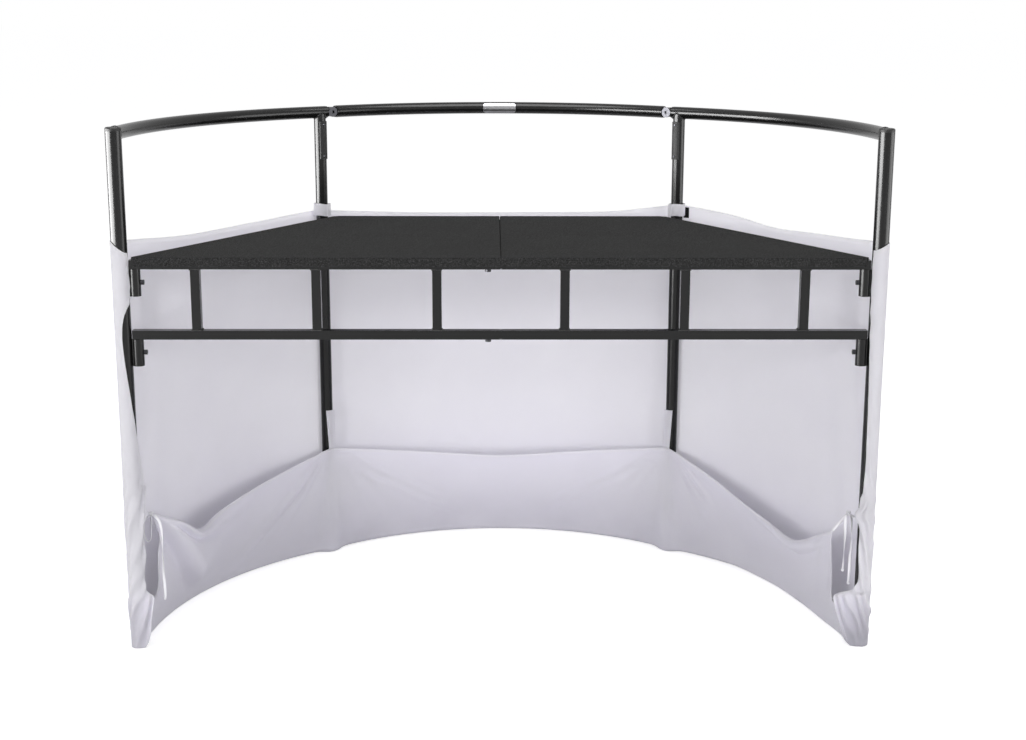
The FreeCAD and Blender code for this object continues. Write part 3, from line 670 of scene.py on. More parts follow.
def stitched(name, lines):
    values = {"Pitch": 0.004, "Bead Length": 0.0030, "Bead Width": 0.0008, "Variation": 0.15,
              "Finish": thread}
    return grown_piece(name, line_guide(name, lines), bead_row, values)


def welded(name, lines, body):
    values = {"Pitch": 0.0016, "Bead Length": 0.0034, "Bead Width": 0.0034, "Variation": 0.12,
              "Finish": weld_metal}
    return grown_piece(name, line_guide(name, lines), bead_row, values, body)


def screwed(name, places, radius, height, finish):
    guide = bpy.data.meshes.new(name)
    guide.from_pydata([place for place, facing in places], [], [])
    facings = guide.attributes.new("facing", "FLOAT_VECTOR", "POINT")
    for item, (place, facing) in zip(facings.data, places):
        item.vector = facing
    values = {"Head Radius": radius, "Head Height": height, "Finish": finish}
    return grown_piece(name, guide, socket_screws, values)


# Cover: one sheet round the outside of the frame, wrapped round both end posts

wrap_columns = 36
wing_columns = 100
centre_columns = 54
low_rows = 50
high_rows = 60
sock_top = 0.17
stitch_lift = 0.0001
stitch_depth = cloth_thickness / 2 + stitch_lift
cover_hem_paleness = 0.25
wrap_hem_shares = (0.85, 0.95)
# Heights over which the painted shade at the foot of the wraps fades out
cover_shade_heights = (0.02, 0.16)

# Length of cloth from the outside of an end post to the wrap's free edge, by height
wrap_lengths = {
    1: SmoothLine((0.001, 0.054), (0.012, 0.066), (0.03, 0.073), (0.051, 0.080), (0.089, 0.091),
                  (0.118, 0.097), (0.127, 0.087), (0.134, 0.060), (0.153, 0.046), (0.17, 0.043),
                  (0.21, 0.043), (0.254, 0.046), (0.292, 0.048), (0.329, 0.051), (0.376, 0.043),
                  (0.432, 0.041), (0.53, 0.042), (0.622, 0.044), (0.717, 0.047), (0.772, 0.048),
                  (0.817, 0.050), (0.862, 0.051), (0.929, 0.050)),
    -1: SmoothLine((0.001, 0.046), (0.012, 0.053), (0.03, 0.058), (0.068, 0.062), (0.094, 0.066),
                   (0.118, 0.070), (0.127, 0.068), (0.135, 0.057), (0.157, 0.053), (0.18, 0.056),
                   (0.207, 0.058), (0.276, 0.060), (0.322, 0.067), (0.358, 0.070), (0.394, 0.068),
                   (0.45, 0.060), (0.502, 0.053), (0.622, 0.0385), (0.717, 0.031), (0.772, 0.036),
                   (0.817, 0.057), (0.862, 0.056), (0.929, 0.050))}
wrap_necks = {1: 0.012, -1: 0.004}
neck_width = 0.012
wrap_top_drops = {1: 0.016, -1: 0.026}
wrap_drop_start = 0.15
wrap_tuck = 0.003
wrap_tuck_end = 0.3
sock_turn = math.radians(105)
wrap_turn = math.radians(150)
sock_edge = (0.12, 0.16)

# Sag of the cover's top edge between the posts, by the share of the way along
centre_sag = SmoothLine((0.0, 0.011), (0.08, 0.020), (0.29, 0.037), (0.5, 0.041), (0.72, 0.035),
                        (0.83, 0.025), (0.94, 0.006), (1.0, -0.003))
wing_sags = {
    1: SmoothLine((0.0, -0.003), (0.2, 0.012), (0.36, 0.029), (0.5, 0.027), (0.75, 0.016), (1.0, -0.006)),
    -1: SmoothLine((0.0, 0.011), (0.25, 0.027), (0.52, 0.032), (0.8, 0.012), (1.0, -0.009))}

# Folds of the wraps, and slack of the wings near the end posts: a wave is its radians per metre,
# after its size where it has one, and a swelling is its size, middle and half width
wrap_wave = 300
wrap_lean = 90
wrap_sway = (1.5, 26)
wrap_drift = (1.3, 130)
wrap_sharpness = 1.6
wrap_fold_start = 0.022
foot_gather = (0.0090, 0.085, 0.055)
tie_gather = (0.0065, tie_height - 0.03, 0.14)
cross_wave = 150
cross_lean = 120
sleeve_pinch = (0.0018, 0.78, 0.07)
least_pinch = 0.0008
slack_start = (0.5, 0.85)
slack_end = (0.93, 1.0)
slack_depth = 0.0035
slack_drape = (slack_depth, 0.40, 0.3)
drape_wave = 46
drape_lean = 9
slack_strain = (0.0007, 0.60, 0.16)
strain_start = (0.6, 0.9)
strain_wave = 190
strain_lean = 0.75


def cover_edge(side, arc, length):
    """Height of the cover's top edge, which sags between posts."""
    share = length / arc.span
    if arc is centre_arc:
        return cover_top - centre_sag(share if side > 0 else 1 - share)
    return cover_top - wing_sags[side](share)


def wrap_length(side, height):
    return wrap_lengths[side](height) + wrap_necks[side] * bell(tie_height, neck_width, height)


def wrap_fold(side, along, height):
    """How far the gathered cloth round an end post stands off it."""
    lean = wrap_wave * along - wrap_lean * height
    lean += wave(wrap_sway, height, side) + wave(wrap_drift, along, 2 * side)
    drawn = ripple(lean) ** wrap_sharpness * ridged((foot_gather, tie_gather), height)
    cross = ripple(cross_lean * height + cross_wave * along + side)
    pinched = cross * (swell(sleeve_pinch, height) + least_pinch)
    return (drawn + pinched) * smooth(0.0, wrap_fold_start, along)


def wrap_point(side, share, height, raised=0.0):
    """Point of the cloth round the right end post, at a share of the way to its inner edge."""
    along = share * wrap_length(side, height)
    turn = sock_turn + (wrap_turn - sock_turn) * smooth(*sock_edge, height)
    round_length = min(along, turn * cover_offset)
    direction = Matrix.Rotation(-round_length / cover_offset, 3, "Z") @ wing_arc.outward(wing_arc.span)
    stand_off = cover_offset + wrap_fold(side, along, height) + raised
    return right_end + direction * stand_off + direction.cross(UP) * (along - round_length) + UP * height


def cover_point(arc, length, height, raised=0.0):
    """Point of the cover outside the rails, with slack near the end posts."""
    offset = cover_offset + raised
    if arc is wing_arc:
        share = length / arc.span
        slack = smooth(*slack_start, share) * (1 - smooth(*slack_end, share))
        drape = swell(slack_drape, height) * math.sin(drape_wave * length + drape_lean * height)
        strain = swell(slack_strain, height) * math.sin(strain_wave * (length + strain_lean * height))
        offset += slack * (slack_depth + drape + strain * smooth(*strain_start, share))
    return arc.at(length, offset, height)


def cover_height(row):
    """Share of the cloth's height at a row, close together near the foot."""
    low_share = sock_top / cover_top
    if row <= low_rows:
        return low_share * row / low_rows
    return low_share + (1 - low_share) * (row - low_rows) / high_rows


def cover_stations():
    """Stations from the middle of the centre arc to the edge of the right wrap."""
    inset = 0.002
    half = centre_arc.span / 2
    stations = [(centre_arc, half + (half - inset) * step / centre_columns)
                for step in range(1, centre_columns + 1)]
    stations += [(wing_arc, inset + (wing_arc.span - inset) * step / wing_columns)
                 for step in range(wing_columns + 1)]
    stations += [(None, step / wrap_columns) for step in range(1, wrap_columns + 1)]
    return stations


def make_cover():
    """Whole outer sheet, from the free edge of the left wrap to that of the right one."""
    half = cover_stations()
    stations = [(-1, station) for station in reversed(half)]
    stations.append((1, (centre_arc, centre_arc.span / 2)))
    stations += [(1, station) for station in half]
    rows = low_rows + high_rows

    def place(column, row):
        side, (arc, value) = stations[column]
        if arc is None:
            low = hem_height - wrap_tuck * smooth(0.0, wrap_tuck_end, value)
            drop = wrap_top_drops[side] * smooth(wrap_drop_start, 1.0, value)
            high = cover_top - wing_sags[side](1.0) - drop
            return on_side(side, wrap_point(side, value, low + (high - low) * cover_height(row)))
        high = cover_edge(side, arc, value)
        return on_side(side, cover_point(arc, value, hem_height + (high - hem_height) * cover_height(row)))

    def hem(column, row):
        arc, value = stations[column][1]
        edge = smooth(*wrap_hem_shares, value) if arc is None else 0.0
        return cover_hem_paleness * max(edge, 1.0 if row == rows else 0.0)

    # Painted shade at the foot of each wrap, fading out upwards
    def painted_shade(column, row):
        arc = stations[column][1][0]
        return 1 - smooth(*cover_shade_heights, cover_top * cover_height(row)) if arc is None else 0.0

    mesh = grid_mesh("outer_cover", len(stations) - 1, rows, place, {"hem": hem, "painted_shade": painted_shade})
    length = sum((place(column + 1, rows // 2) - place(column, rows // 2)).length
                 for column in range(len(stations) - 1))
    piece = new_piece("outer_cover", mesh, scrim)
    thicken(piece)
    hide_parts("left_cover", "centre_cover", "right_cover", "left_end_wrap", "right_end_wrap")
    make_cover_stitches()
    make_hook_patch()


def make_cover_stitches():
    """Seam lines along the top hem and the rolled inner edges of the wraps."""
    lines = []
    steps = 160
    end_clear = 0.004
    foot_clear = 0.015
    top_clear = 0.035
    for side, arc in ((1, centre_arc), (1, wing_arc), (-1, wing_arc)):
        line = []
        for step in range(steps + 1):
            length = end_clear + (arc.span - 2 * end_clear) * step / steps
            height = cover_edge(side, arc, length) - 2 * hem_width
            line.append(on_side(side, cover_point(arc, length, height, -stitch_depth)))
        lines.append(line)
    for side in (1, -1):
        line = []
        for step in range(steps + 1):
            height = foot_clear + (cover_top - foot_clear - top_clear) * step / steps
            share = 1 - hem_width / wrap_length(side, height)
            line.append(on_side(side, wrap_point(side, share, height, stitch_depth)))
        lines.append(line)
    return stitched("cover_stitches", lines)


def make_hook_patch():
    """Square of hook tape on the inside of the right wing, beside its mid post."""
    columns = 8
    rows = 16
    start = 0.012
    width = 0.014
    bottom = 0.899
    height = 0.027
    inside = -cloth_thickness - 0.0002

    def place(column, row):
        return cover_point(wing_arc, start + width * column / columns, bottom + height * row / rows, inside)

    mesh = grid_mesh("hook_patch", columns, rows, place)
    piece = new_piece("hook_patch", mesh, hook_tape)
    thicken(piece)
    return piece


make_cover()


# Flap: the cloth turned in under the bottom rails and laced up inside

flap_wing_columns = 160
flap_centre_columns = 72
flap_hem_rows = 14
flap_rows = 84
foot_clear_radius = 0.0128
foot_clear_height = 0.011
hug_turn = math.radians(80)
flap_base = hug_radius * math.sin(hug_turn)
flap_foot = bottom_rail_height - hug_radius * math.cos(hug_turn)

# Top edge, inward lean, free end and cloth lying inside the rail, by the share of the way along;
# the free ends go by the share of the way up
flap_tops = {
    1: SmoothLine((0.0, 0.289), (0.21, 0.254), (0.376, 0.221), (0.533, 0.197), (0.683, 0.181),
                  (0.76, 0.198), (0.82, 0.220), (0.9, 0.246), (0.96, 0.266)),
    -1: SmoothLine((0.0, 0.289), (0.195, 0.273), (0.42, 0.256), (0.61, 0.239), (0.76, 0.228),
                   (0.85, 0.266), (0.95, 0.309))}
flap_leans = {
    1: SmoothLine((0.0, 0.0), (0.2, 0.048), (0.4, 0.070), (0.56, 0.072), (0.70, 0.064),
                  (0.85, 0.056), (0.96, 0.050)),
    -1: SmoothLine((0.0, 0.0), (0.19, 0.047), (0.42, 0.071), (0.61, 0.070), (0.76, 0.053),
                   (0.855, 0.036), (0.95, 0.014))}
flap_end_share = 0.955
flap_ends = {
    1: SmoothLine((0.0, 0.980), (0.16, 0.978), (0.24, 0.945), (0.32, 0.925), (0.45, 0.920),
                  (0.62, 0.923), (0.8, 0.930), (0.92, 0.945), (1.0, flap_end_share)),
    -1: SmoothLine((0.0, 0.984), (0.12, 0.980), (0.22, 0.955), (0.3, 0.930), (0.43, 0.918),
                   (0.64, 0.916), (0.85, 0.918), (0.95, 0.935), (1.0, flap_end_share))}
flap_pools = {
    1: SmoothLine((0.27, 0.0), (0.48, 0.016), (0.6, 0.027), (0.756, 0.033), (0.84, 0.031), (0.95, 0.020)),
    -1: SmoothLine((0.0, 0.0), (1.0, 0.0))}
centre_flap_top = SmoothLine((0.0, 0.289), (0.2, 0.267), (0.5, 0.248), (0.8, 0.267), (1.0, 0.289))
centre_flap_lean = SmoothLine((0.0, 0.0), (0.2, 0.060), (0.5, 0.095), (0.8, 0.060), (1.0, 0.0))
lean_power = 1.25
right_end_power = 0.75
right_end_turn = (0.8, 0.96)
mid_foot_pool = (0.0135, 0.0, 0.030)
floor_gap = 0.0028
full_drop_pool = 0.012
pool_reach = 0.7
drop_reach = 0.3
fold_reach = 0.25

# Swag of the left flap: its folds by the angle down from the tie, and the roll under its top edge
swag_profile = SmoothLine((0, 0.006), (14, 0.002), (26, 0.018), (40, 0.032), (47, 0.027), (50.5, -0.013),
                          (55, -0.008), (66, 0.006), (75, 0.002), (82, 0.007), (90, 0.0))
swag_near = (0.01, 0.09)
swag_far = (0.28, 0.42)
swag_depth = SmoothLine((0.40, 0.056), (0.48, 0.060), (0.60, 0.042), (0.75, 0.022), (0.87, 0.015))
swag_start = (0.38, 0.50)
swag_end = (0.84, 0.93)
swag_roll_depth = 0.011
swag_line_depth = 0.009
swag_line_share = 1.25
swag_line_width_share = 0.30

# Creases: a line is a point on it and its square direction, a ridge is a swelling across it
centre_crease_line = ((0.12, 0.205), (0.464, 0.886))
centre_ridges = ((0.0028, 0.0, 0.007), (-0.0028, -0.012, 0.008), (0.00168, 0.030, 0.007))
centre_crease_start = (0.04, 0.12)
centre_crease_end = (0.30, 0.42)
tab_crease_line = ((0.133, 0.18), (0.63, 0.777))
tab_ridges = ((0.005, 0.016, 0.014), (-0.004, -0.006, 0.010))
tab_crease_start = (0.08, 0.13)
fan_origin_height = 0.302
fan_middle_height = 0.292
fan_wave = 22
fan_sway = (1.5, 7)
fan_creases = (0.0024, 0.14, 0.10)
hem_roll = (0.017, 0.22, 0.13)
hem_roll_height = 0.036
tie_crease_wave = 0.24
tie_crease_start = 0.6
tie_creases = (0.0030, 0.18, 0.12)

# Bellies of the flaps, the step and paleness of their hems, and painted shade near the floor
centre_belly = 0.004
centre_belly_wave = (0.3, 31)
wing_belly = (0.010, 0.72, 0.16)
hem_step_depth = 0.0009
hem_step_run = 0.001
flap_hem_paleness = 0.3
hem_blur = 0.2 * hem_width
flap_shade = 0.45
flap_shade_reach = 0.7
wing_shade_fade = 0.35
wing_shade_shares = {1: 0.0, -1: 0.35}
tiny = 1e-6


def foot_pool(along):
    """Cloth that lies inside the foot of a mid post, so that the foot stays covered."""
    return swell(mid_foot_pool, along)


def swag_roll(share, below):
    """Rolled fold under the top edge of the left flap, with a deep line below it."""
    depth = swag_depth(share)
    roll = swag_roll_depth * arch(below / depth)
    line = swag_line_depth * bell(swag_line_share * depth, swag_line_width_share * depth, below)
    return smooth(*swag_start, share) * (1 - smooth(*swag_end, share)) * (roll - line)


def across_line(line, along, height):
    """Distance of a point of the flap from a crease's line."""
    (start, level), (run, rise) = line
    return (along - start) * run + (height - level) * rise


def centre_creases(along, height):
    """Soft creases that run down and inwards from each corner of the centre flap."""
    ridges = ridged(centre_ridges, across_line(centre_crease_line, along, height))
    return ridges * smooth(*centre_crease_start, along) * (1 - smooth(*centre_crease_end, along))


def corner_creases(along, height):
    """Creases that fan from the tab at a mid post."""
    angle = math.atan2(max(fan_origin_height - height, 0.0), max(along, tiny))
    fan = math.sin(fan_wave * angle + wave(fan_sway, angle, 1.0))
    return fan * swell(fan_creases, math.hypot(along, fan_middle_height - height))


def tab_crease(along, height):
    """Long soft crease from the left tab down to the bottom rail."""
    ridges = ridged(tab_ridges, across_line(tab_crease_line, along, height))
    return ridges * smooth(*tab_crease_start, along)


def tie_folds(side, from_tie, height, top):
    """Folds that the tie pulls into the end of a wing flap, inwards positive."""
    down = tie_height - height
    distance = math.hypot(from_tie, down)
    angle = math.degrees(math.atan2(max(down, 0.0), max(from_tie, tiny)))
    if side < 0:
        return swag_profile(angle) * smooth(*swag_near, distance) * (1 - smooth(*swag_far, distance))
    roll = swell(hem_roll, from_tie) * arch((top - height) / hem_roll_height)
    return roll + swell(tie_creases, distance) * math.sin(tie_crease_wave * angle + tie_crease_start)


def flap_top(side, arc, share):
    """Height of the flap's top edge."""
    return centre_flap_top(share) if arc is centre_arc else flap_tops[side](share)


def flap_point(side, arc, share, lift, raised=0.0):
    """Point of the flap at a share of the way along an arc and of the way up its inner face."""
    if arc is wing_arc:
        share *= flap_ends[side](lift)
    top = flap_top(side, arc, share)
    height = flap_foot + (top - flap_foot) * lift
    power = lean_power
    if arc is centre_arc:
        corner = min(share, 1 - share) * arc.span
        lean = centre_flap_lean(share)
        pool = foot_pool(corner)
        fold = centre_belly * arch(lift) * (1 + wave(centre_belly_wave, share))
        fold += corner_creases(corner, height) + centre_creases(corner, height)
    else:
        along = share * arc.span
        from_tie = max(flap_end_share - share, 0.0) * arc.span
        lean = flap_leans[side](share)
        pool = flap_pools[side](share) + foot_pool(along)
        fold = swell(wing_belly, share) * arch(lift)
        fold += tie_folds(side, from_tie, height, top) + corner_creases(along, height)
        if side < 0:
            fold += tab_crease(along, height) + swag_roll(share, top - height)
        else:
            power -= (lean_power - right_end_power) * smooth(*right_end_turn, share)
    hem_edge = top - hem_width
    hem_step = hem_step_depth * smooth(hem_edge - hem_step_run, hem_edge, height)
    slack = pool * (1 - smooth(0.0, pool_reach, lift))
    inward = flap_base + slack + lean * lift ** power + fold * smooth(0.0, fold_reach, lift)
    inward += hem_step + raised
    drop = floor_drop(pool) * (1 - smooth(0.0, drop_reach, lift))
    return arc.at(share * arc.span, -inward, height - drop)


def floor_drop(pool):
    """How far cloth that lies inside the rail sinks on to the floor."""
    return floor_gap * smooth(0.0, full_drop_pool, pool)


def hem_point(side, arc, share, step):
    """Point of the cloth that passes under the bottom rail and round its inner side."""
    pool = foot_pool(min(share, 1 - share) * arc.span)
    if arc is wing_arc:
        share *= flap_ends[side](0.0)
        pool = flap_pools[side](share) + foot_pool(share * arc.span)
    under = 0.4
    if step < under:
        offset = (cover_offset - 2 * cloth_gap) * (1 - step / under) - pool * step / under
        height = bottom_rail_height - hug_radius - floor_drop(pool) * step / under
        return arc.at(share * arc.span, offset, height)
    turn = hug_turn * (step - under) / (1 - under)
    return arc.at(share * arc.span, -pool - hug_radius * math.sin(turn),
                  bottom_rail_height - hug_radius * math.cos(turn) - floor_drop(pool))


def make_flap():
    """Whole inner sheet, from the left tie past both mid posts to the right tie."""
    inset = 0.002
    wing_shares = [inset + (1 - inset) * step / flap_wing_columns for step in range(flap_wing_columns + 1)]
    centre_shares = [inset + (1 - 2 * inset) * step / flap_centre_columns
                     for step in range(flap_centre_columns + 1)]
    stations = [(-1, wing_arc, share) for share in reversed(wing_shares)]
    stations += [(1, centre_arc, share) for share in centre_shares]
    stations += [(1, wing_arc, share) for share in wing_shares]

    def place(column, row):
        side, arc, share = stations[column]
        if row >= flap_hem_rows:
            return on_side(side, flap_point(side, arc, share, (row - flap_hem_rows) / flap_rows))
        return on_side(side, hem_point(side, arc, share, row / flap_hem_rows))

    def hem(column, row):
        side, arc, share = stations[column]
        below = flap_top(side, arc, share) * (1 - (row - flap_hem_rows) / flap_rows)
        return flap_hem_paleness * (1 - smooth(hem_width - hem_blur, hem_width + hem_blur, below))

    # Painted shade towards the flap's foot: full on the centre flap, fading along the wings to a third on
    # the left and none on the right
    def painted_shade(column, row):
        side, arc, share = stations[column]
        spread = 1.0
        if arc is wing_arc:
            spread -= (1 - wing_shade_shares[side]) * smooth(0.0, wing_shade_fade, share)
        return flap_shade * spread * (1 - smooth(0.0, flap_shade_reach, (row - flap_hem_rows) / flap_rows))

    def clear_of_foot(centre):
        from_post = (on_floor(centre) - on_side(1 if centre.x > 0 else -1, right_mid)).length
        return from_post > foot_clear_radius or centre.z > foot_clear_height

    mesh = grid_mesh("inner_flap", len(stations) - 1, flap_hem_rows + flap_rows, place,
                     {"hem": hem, "painted_shade": painted_shade}, clear_of_foot)
    length = sum((place(column + 1, flap_hem_rows) - place(column, flap_hem_rows)).length
                 for column in range(len(stations) - 1))
    piece = new_piece("inner_flap", mesh, scrim)
    thicken(piece)
    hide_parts("left_flap", "centre_flap", "right_flap")
    make_flap_stitches(stations)


def make_flap_stitches(stations):
    """Seam line along the hem of the flap's top edge."""
    line = []
    for side, arc, share in stations:
        lift = 1 - hem_width / flap_top(side, arc, share)
        line.append(on_side(side, flap_point(side, arc, share, lift, stitch_depth)))
    return stitched("flap_stitches", [line])


make_flap()


# Tabs on the mid posts, and the bands round them

tab_width = 0.025
tab_bottom = 0.232
tab_top = 0.392
tab_slant = 0.009
tab_reach = 0.0125
tab_gap = 0.0003
tab_ripple = (0.0004, 150)
band_overhang = 0.008
band_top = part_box("right_post_strap")[1].z
band_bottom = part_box("right_post_strap")[0].z - band_overhang
band_half_width = 0.0215
band_slant = 0.0015
band_sag = (0.0010, 3)
band_edge = 0.0006
band_edge_share = 0.4
band_lap_start = math.radians(-62)
band_lap_turn = math.radians(50)


def make_tab(side, name):
    """Strip of cloth with one slanted edge that lies against a mid post at the flap's top."""
    columns = 10
    rows = 40

    def place(column, row):
        height = tab_bottom + (tab_top - tab_bottom) * row / rows
        edge = tab_slant * (1 - row / rows)
        past_post = tab_reach - edge - (tab_width - edge) * column / columns
        pucker = abs(wave(tab_ripple, height) * arch(column / columns))
        stand_off = mid_post_radius + cloth_gap + cloth_thickness / 2 + tab_gap + pucker
        if past_post < 0:
            return on_side(side, centre_arc.at(centre_arc.span + past_post, -stand_off, height))
        inward = Matrix.Rotation(past_post / stand_off, 3, "Z") @ -centre_arc.outward(centre_arc.span)
        return on_side(side, right_mid + inward * stand_off + UP * height)

    piece = new_piece(name, grid_mesh(name, columns, rows, place), scrim)
    thicken(piece)


def band_ring(side, angle, raised):
    """Upright section of a band at an angle round a mid post, from the standing side."""
    outward = (centre_arc.outward(centre_arc.span) + wing_arc.outward(0)).normalized()
    sideways = outward.cross(UP)
    front = mid_post_radius + cloth_gap + raised
    place = right_mid - outward * front * math.cos(angle)
    place += sideways * (band_half_width + raised) * math.sin(angle)
    normal = (sideways * math.sin(angle) * front - outward * math.cos(angle) * band_half_width).normalized()
    sag = wave(band_sag, angle, side) + band_slant * math.sin(angle)
    middle = (band_bottom + band_top) / 2
    low = band_bottom + band_edge
    high = band_top - band_edge
    section = ((0, low), (band_edge_share, band_bottom), (1, low), (1, middle),
               (1, high), (band_edge_share, band_top), (0, high), (0, middle))
    ring = [on_side(side, place + normal * thick * cloth_thickness + UP * (level + sag))
            for thick, level in section]
    return ring if side > 0 else ring[::-1]


def make_band(side, name):
    """Band round a mid post, with its sewn lap."""
    steps = 72
    lap_steps = 12
    rings = [band_ring(side, 2 * math.pi * step / steps, 0.0) for step in range(steps)]
    around = run_lengths([ring[0] for ring in rings + rings[:1]])[-1]
    loop = skin_mesh(name, rings, True)
    lap_rings = [band_ring(side, band_lap_start + band_lap_turn * step / lap_steps, cloth_thickness)
                 for step in range(lap_steps + 1)]
    length = around + run_lengths([ring[0] for ring in lap_rings])[-1]
    lap = skin_mesh(name, lap_rings)
    piece = new_piece(name, joined_mesh(name, [loop, lap]), scrim)
    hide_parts(name.replace("band", "post_strap"))


for side, side_name in ((-1, "left"), (1, "right")):
    make_tab(side, side_name + "_tab")
    make_band(side, side_name + "_band")


# Ties: knots, a bow on the left one, a taut link on the right one, and hanging tails

tape_width = 0.0065
bow_width = 0.008
tape_thickness = 0.0010
knot_radius = 0.0065
end_knot_radius = 0.0042
end_knot_drop = 0.001
eyelet_share = 0.97
eyelet_lift = 0.0015
knot_share = 0.95
knot_gap = 0.0004
knot_lean_share = 0.15
knot_centre = wing_arc.at(knot_share * wing_arc.span + knot_radius + knot_gap,
                          -rail_radius - hem_slack - knot_lean_share * wing_bow, tie_height - knot_radius)
tape_section = ((-1, -0.6), (-0.5, -1), (0.5, -1), (1, -0.6), (1, 0.6), (0.5, 1), (-0.5, 1), (-1, 0.6))

# Routes of the tails and the bow, as steps from the knot's centre
left_tail_route = ((-0.0075, -0.001, -0.002), (-0.017, -0.006, -0.010), (-0.024, -0.012, -0.027),
                   (-0.026, -0.017, -0.052), (-0.025, -0.019, -0.081), (-0.027, -0.020, -0.111),
                   (-0.026, -0.020, -0.140), (-0.028, -0.019, -0.168), (-0.027, -0.019, -0.195))
right_tail_route = ((0.003, -0.007, -0.0015), (0.004, -0.017, -0.008), (0.0045, -0.021, -0.024),
                    (0.0035, -0.022, -0.049), (0.0045, -0.023, -0.077), (0.003, -0.0225, -0.106),
                    (0.004, -0.023, -0.134), (0.003, -0.022, -0.160))
short_tail_route = ((-0.005, -0.0055, -0.002), (-0.009, -0.014, -0.009), (-0.0105, -0.018, -0.025),
                    (-0.009, -0.019, -0.049), (-0.0105, -0.0195, -0.076), (-0.0095, -0.019, -0.104),
                    (-0.011, -0.0195, -0.130))
bow_route = ((0.002, -0.004, -0.004), (0.010, -0.010, -0.006), (0.014, -0.015, -0.022),
             (0.014, -0.016, -0.046), (0.009, -0.016, -0.061), (-0.001, -0.016, -0.058),
             (-0.002, -0.015, -0.038), (-0.001, -0.011, -0.018), (0.0, -0.006, -0.006))


def from_knot(side, route):
    return [on_side(side, knot_centre + Vector(step)) for step in route]


def spline_points(points):
    """Points along a smooth line that is drawn by a few control points."""
    curve = bpy.data.curves.new("tape_line", "CURVE")
    curve.dimensions = "3D"
    curve.resolution_u = 10
    spline = curve.splines.new("NURBS")
    spline.points.add(len(points) - 1)
    for item, point in zip(spline.points, points):
        item.co = (point.x, point.y, point.z, 1)
    spline.order_u = 3
    spline.use_endpoint_u = True
    holder = bpy.data.objects.new("tape_line", curve)
    mesh = bpy.data.meshes.new_from_object(holder)
    line = [vertex.co.copy() for vertex in mesh.vertices]
    bpy.data.meshes.remove(mesh)
    bpy.data.objects.remove(holder)
    bpy.data.curves.remove(curve)
    return line


def tape_mesh(name, line, first_across, twist, width=tape_width):
    """Flat tape along a line, turning evenly about it by a twist."""
    across = Vector(first_across)
    lengths = run_lengths(line)
    rings = []
    for index, point in enumerate(line):
        ahead = (line[min(index + 1, len(line) - 1)] - line[max(index - 1, 0)]).normalized()
        across = (across - ahead * across.dot(ahead)).normalized()
        share = lengths[index] / lengths[-1]
        turned = Matrix.Rotation(twist * share, 3, ahead) @ across
        flat = ahead.cross(turned)
        rings.append([point + turned * x * width / 2 + flat * y * tape_thickness / 2
                      for x, y in tape_section])
    return skin_mesh(name, rings)


def knot_mesh(name, centre, radius, tilt):
    """Overhand knot pulled into a small ball."""
    steps = 96
    sides = 10
    lay = Matrix.Rotation(tilt, 3, "Z") @ Matrix.Rotation(math.radians(80), 3, "X")
    unit = 0.245 * radius
    cord = 0.265 * radius
    depth = 1.15

    def line(step):
        t = 2 * math.pi * step / steps
        return lay @ Vector((math.sin(t) + 2 * math.sin(2 * t), math.cos(t) - 2 * math.cos(2 * t),
                             -depth * math.sin(3 * t))) * unit

    rings = []
    for step in range(steps):
        point = line(step)
        ahead = (line(step + 1) - line(step - 1)).normalized()
        across = ahead.cross(point).normalized()
        beside = across.cross(ahead)
        turns = [2 * math.pi * side / sides for side in range(sides)]
        rings.append([centre + point + (across * math.cos(turn) + beside * math.sin(turn)) * cord
                      for turn in turns])
    return skin_mesh(name, rings, True)


def make_knots():
    """Both knots with the bow under the left one and the link from the right flap's corner."""
    corner = flap_point(1, wing_arc, 1.0, 1.0)
    eyelet = wrap_point(1, eyelet_share, knot_centre.z, eyelet_lift)
    steps = 20
    bow_line = spline_points(from_knot(-1, bow_route))
    meshes = [knot_mesh("left_knot", mirrored(knot_centre), knot_radius, tilt=0.4),
              knot_mesh("right_knot", knot_centre, knot_radius, tilt=-0.5),
              tape_mesh("bow", bow_line, first_across=(0.3, 1, 0), twist=0.9, width=bow_width)]
    for start, end in ((corner, knot_centre), (knot_centre, eyelet)):
        line = [start.lerp(end, step / steps) for step in range(steps + 1)]
        meshes.append(tape_mesh("link", line, first_across=(0.4, -0.6, -0.2), twist=1.2))
    piece = new_piece("knots_bow_and_link", joined_mesh("knots_bow_and_link", meshes), tape)
    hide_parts("tie_knots")


def make_tail(name, side, route, twist):
    """Hanging end of a tie, with a small knot at its tip."""
    line = spline_points(from_knot(side, route))
    tail_name = name + "_tape"
    knot_name = name + "_end_knot"
    piece = new_piece(tail_name, tape_mesh(tail_name, line, (1, 0.4, 0), twist), tape)
    tip = line[-1] - UP * end_knot_drop
    end_knot = new_piece(knot_name, knot_mesh(knot_name, tip, end_knot_radius, twist), tape)
    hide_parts(name)
    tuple(line[0])
    run_lengths(line)[-1]


make_knots()
make_tail("left_tie_tail", -1, left_tail_route, twist=4.2)
make_tail("right_tie_tail", 1, right_tail_route, twist=-3.6)
make_tail("right_short_tie_tail", 1, short_tail_route, twist=2.8)


# Dark strip under the deck's seam, a stand-in for the shade in the gap so that no light shows through it

def make_seam_shade_strip():
    half_width = 0.020
    thickness = 0.002
    clear = 0.0005
    deck_gap = 0.0002
    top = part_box("right_upper_tube")[1].z - deck_gap
    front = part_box("right_upper_tube")[1].y + clear
    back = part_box("right_rear_tube")[0].y - clear
    corners = [Vector((x, y, z)) for x in (-half_width, half_width) for y in (front, back)
               for z in (top - thickness, top)]
    faces = [(0, 1, 3, 2), (4, 6, 7, 5), (0, 4, 5, 1), (2, 3, 7, 6), (0, 2, 6, 4), (1, 5, 7, 3)]
    mesh = bpy.data.meshes.new("seam_shade_strip")
    mesh.from_pydata(corners, [], faces)
    new_piece("seam_shade_strip", mesh, hook_tape, "table")


make_seam_shade_strip()


# Welds and small screws

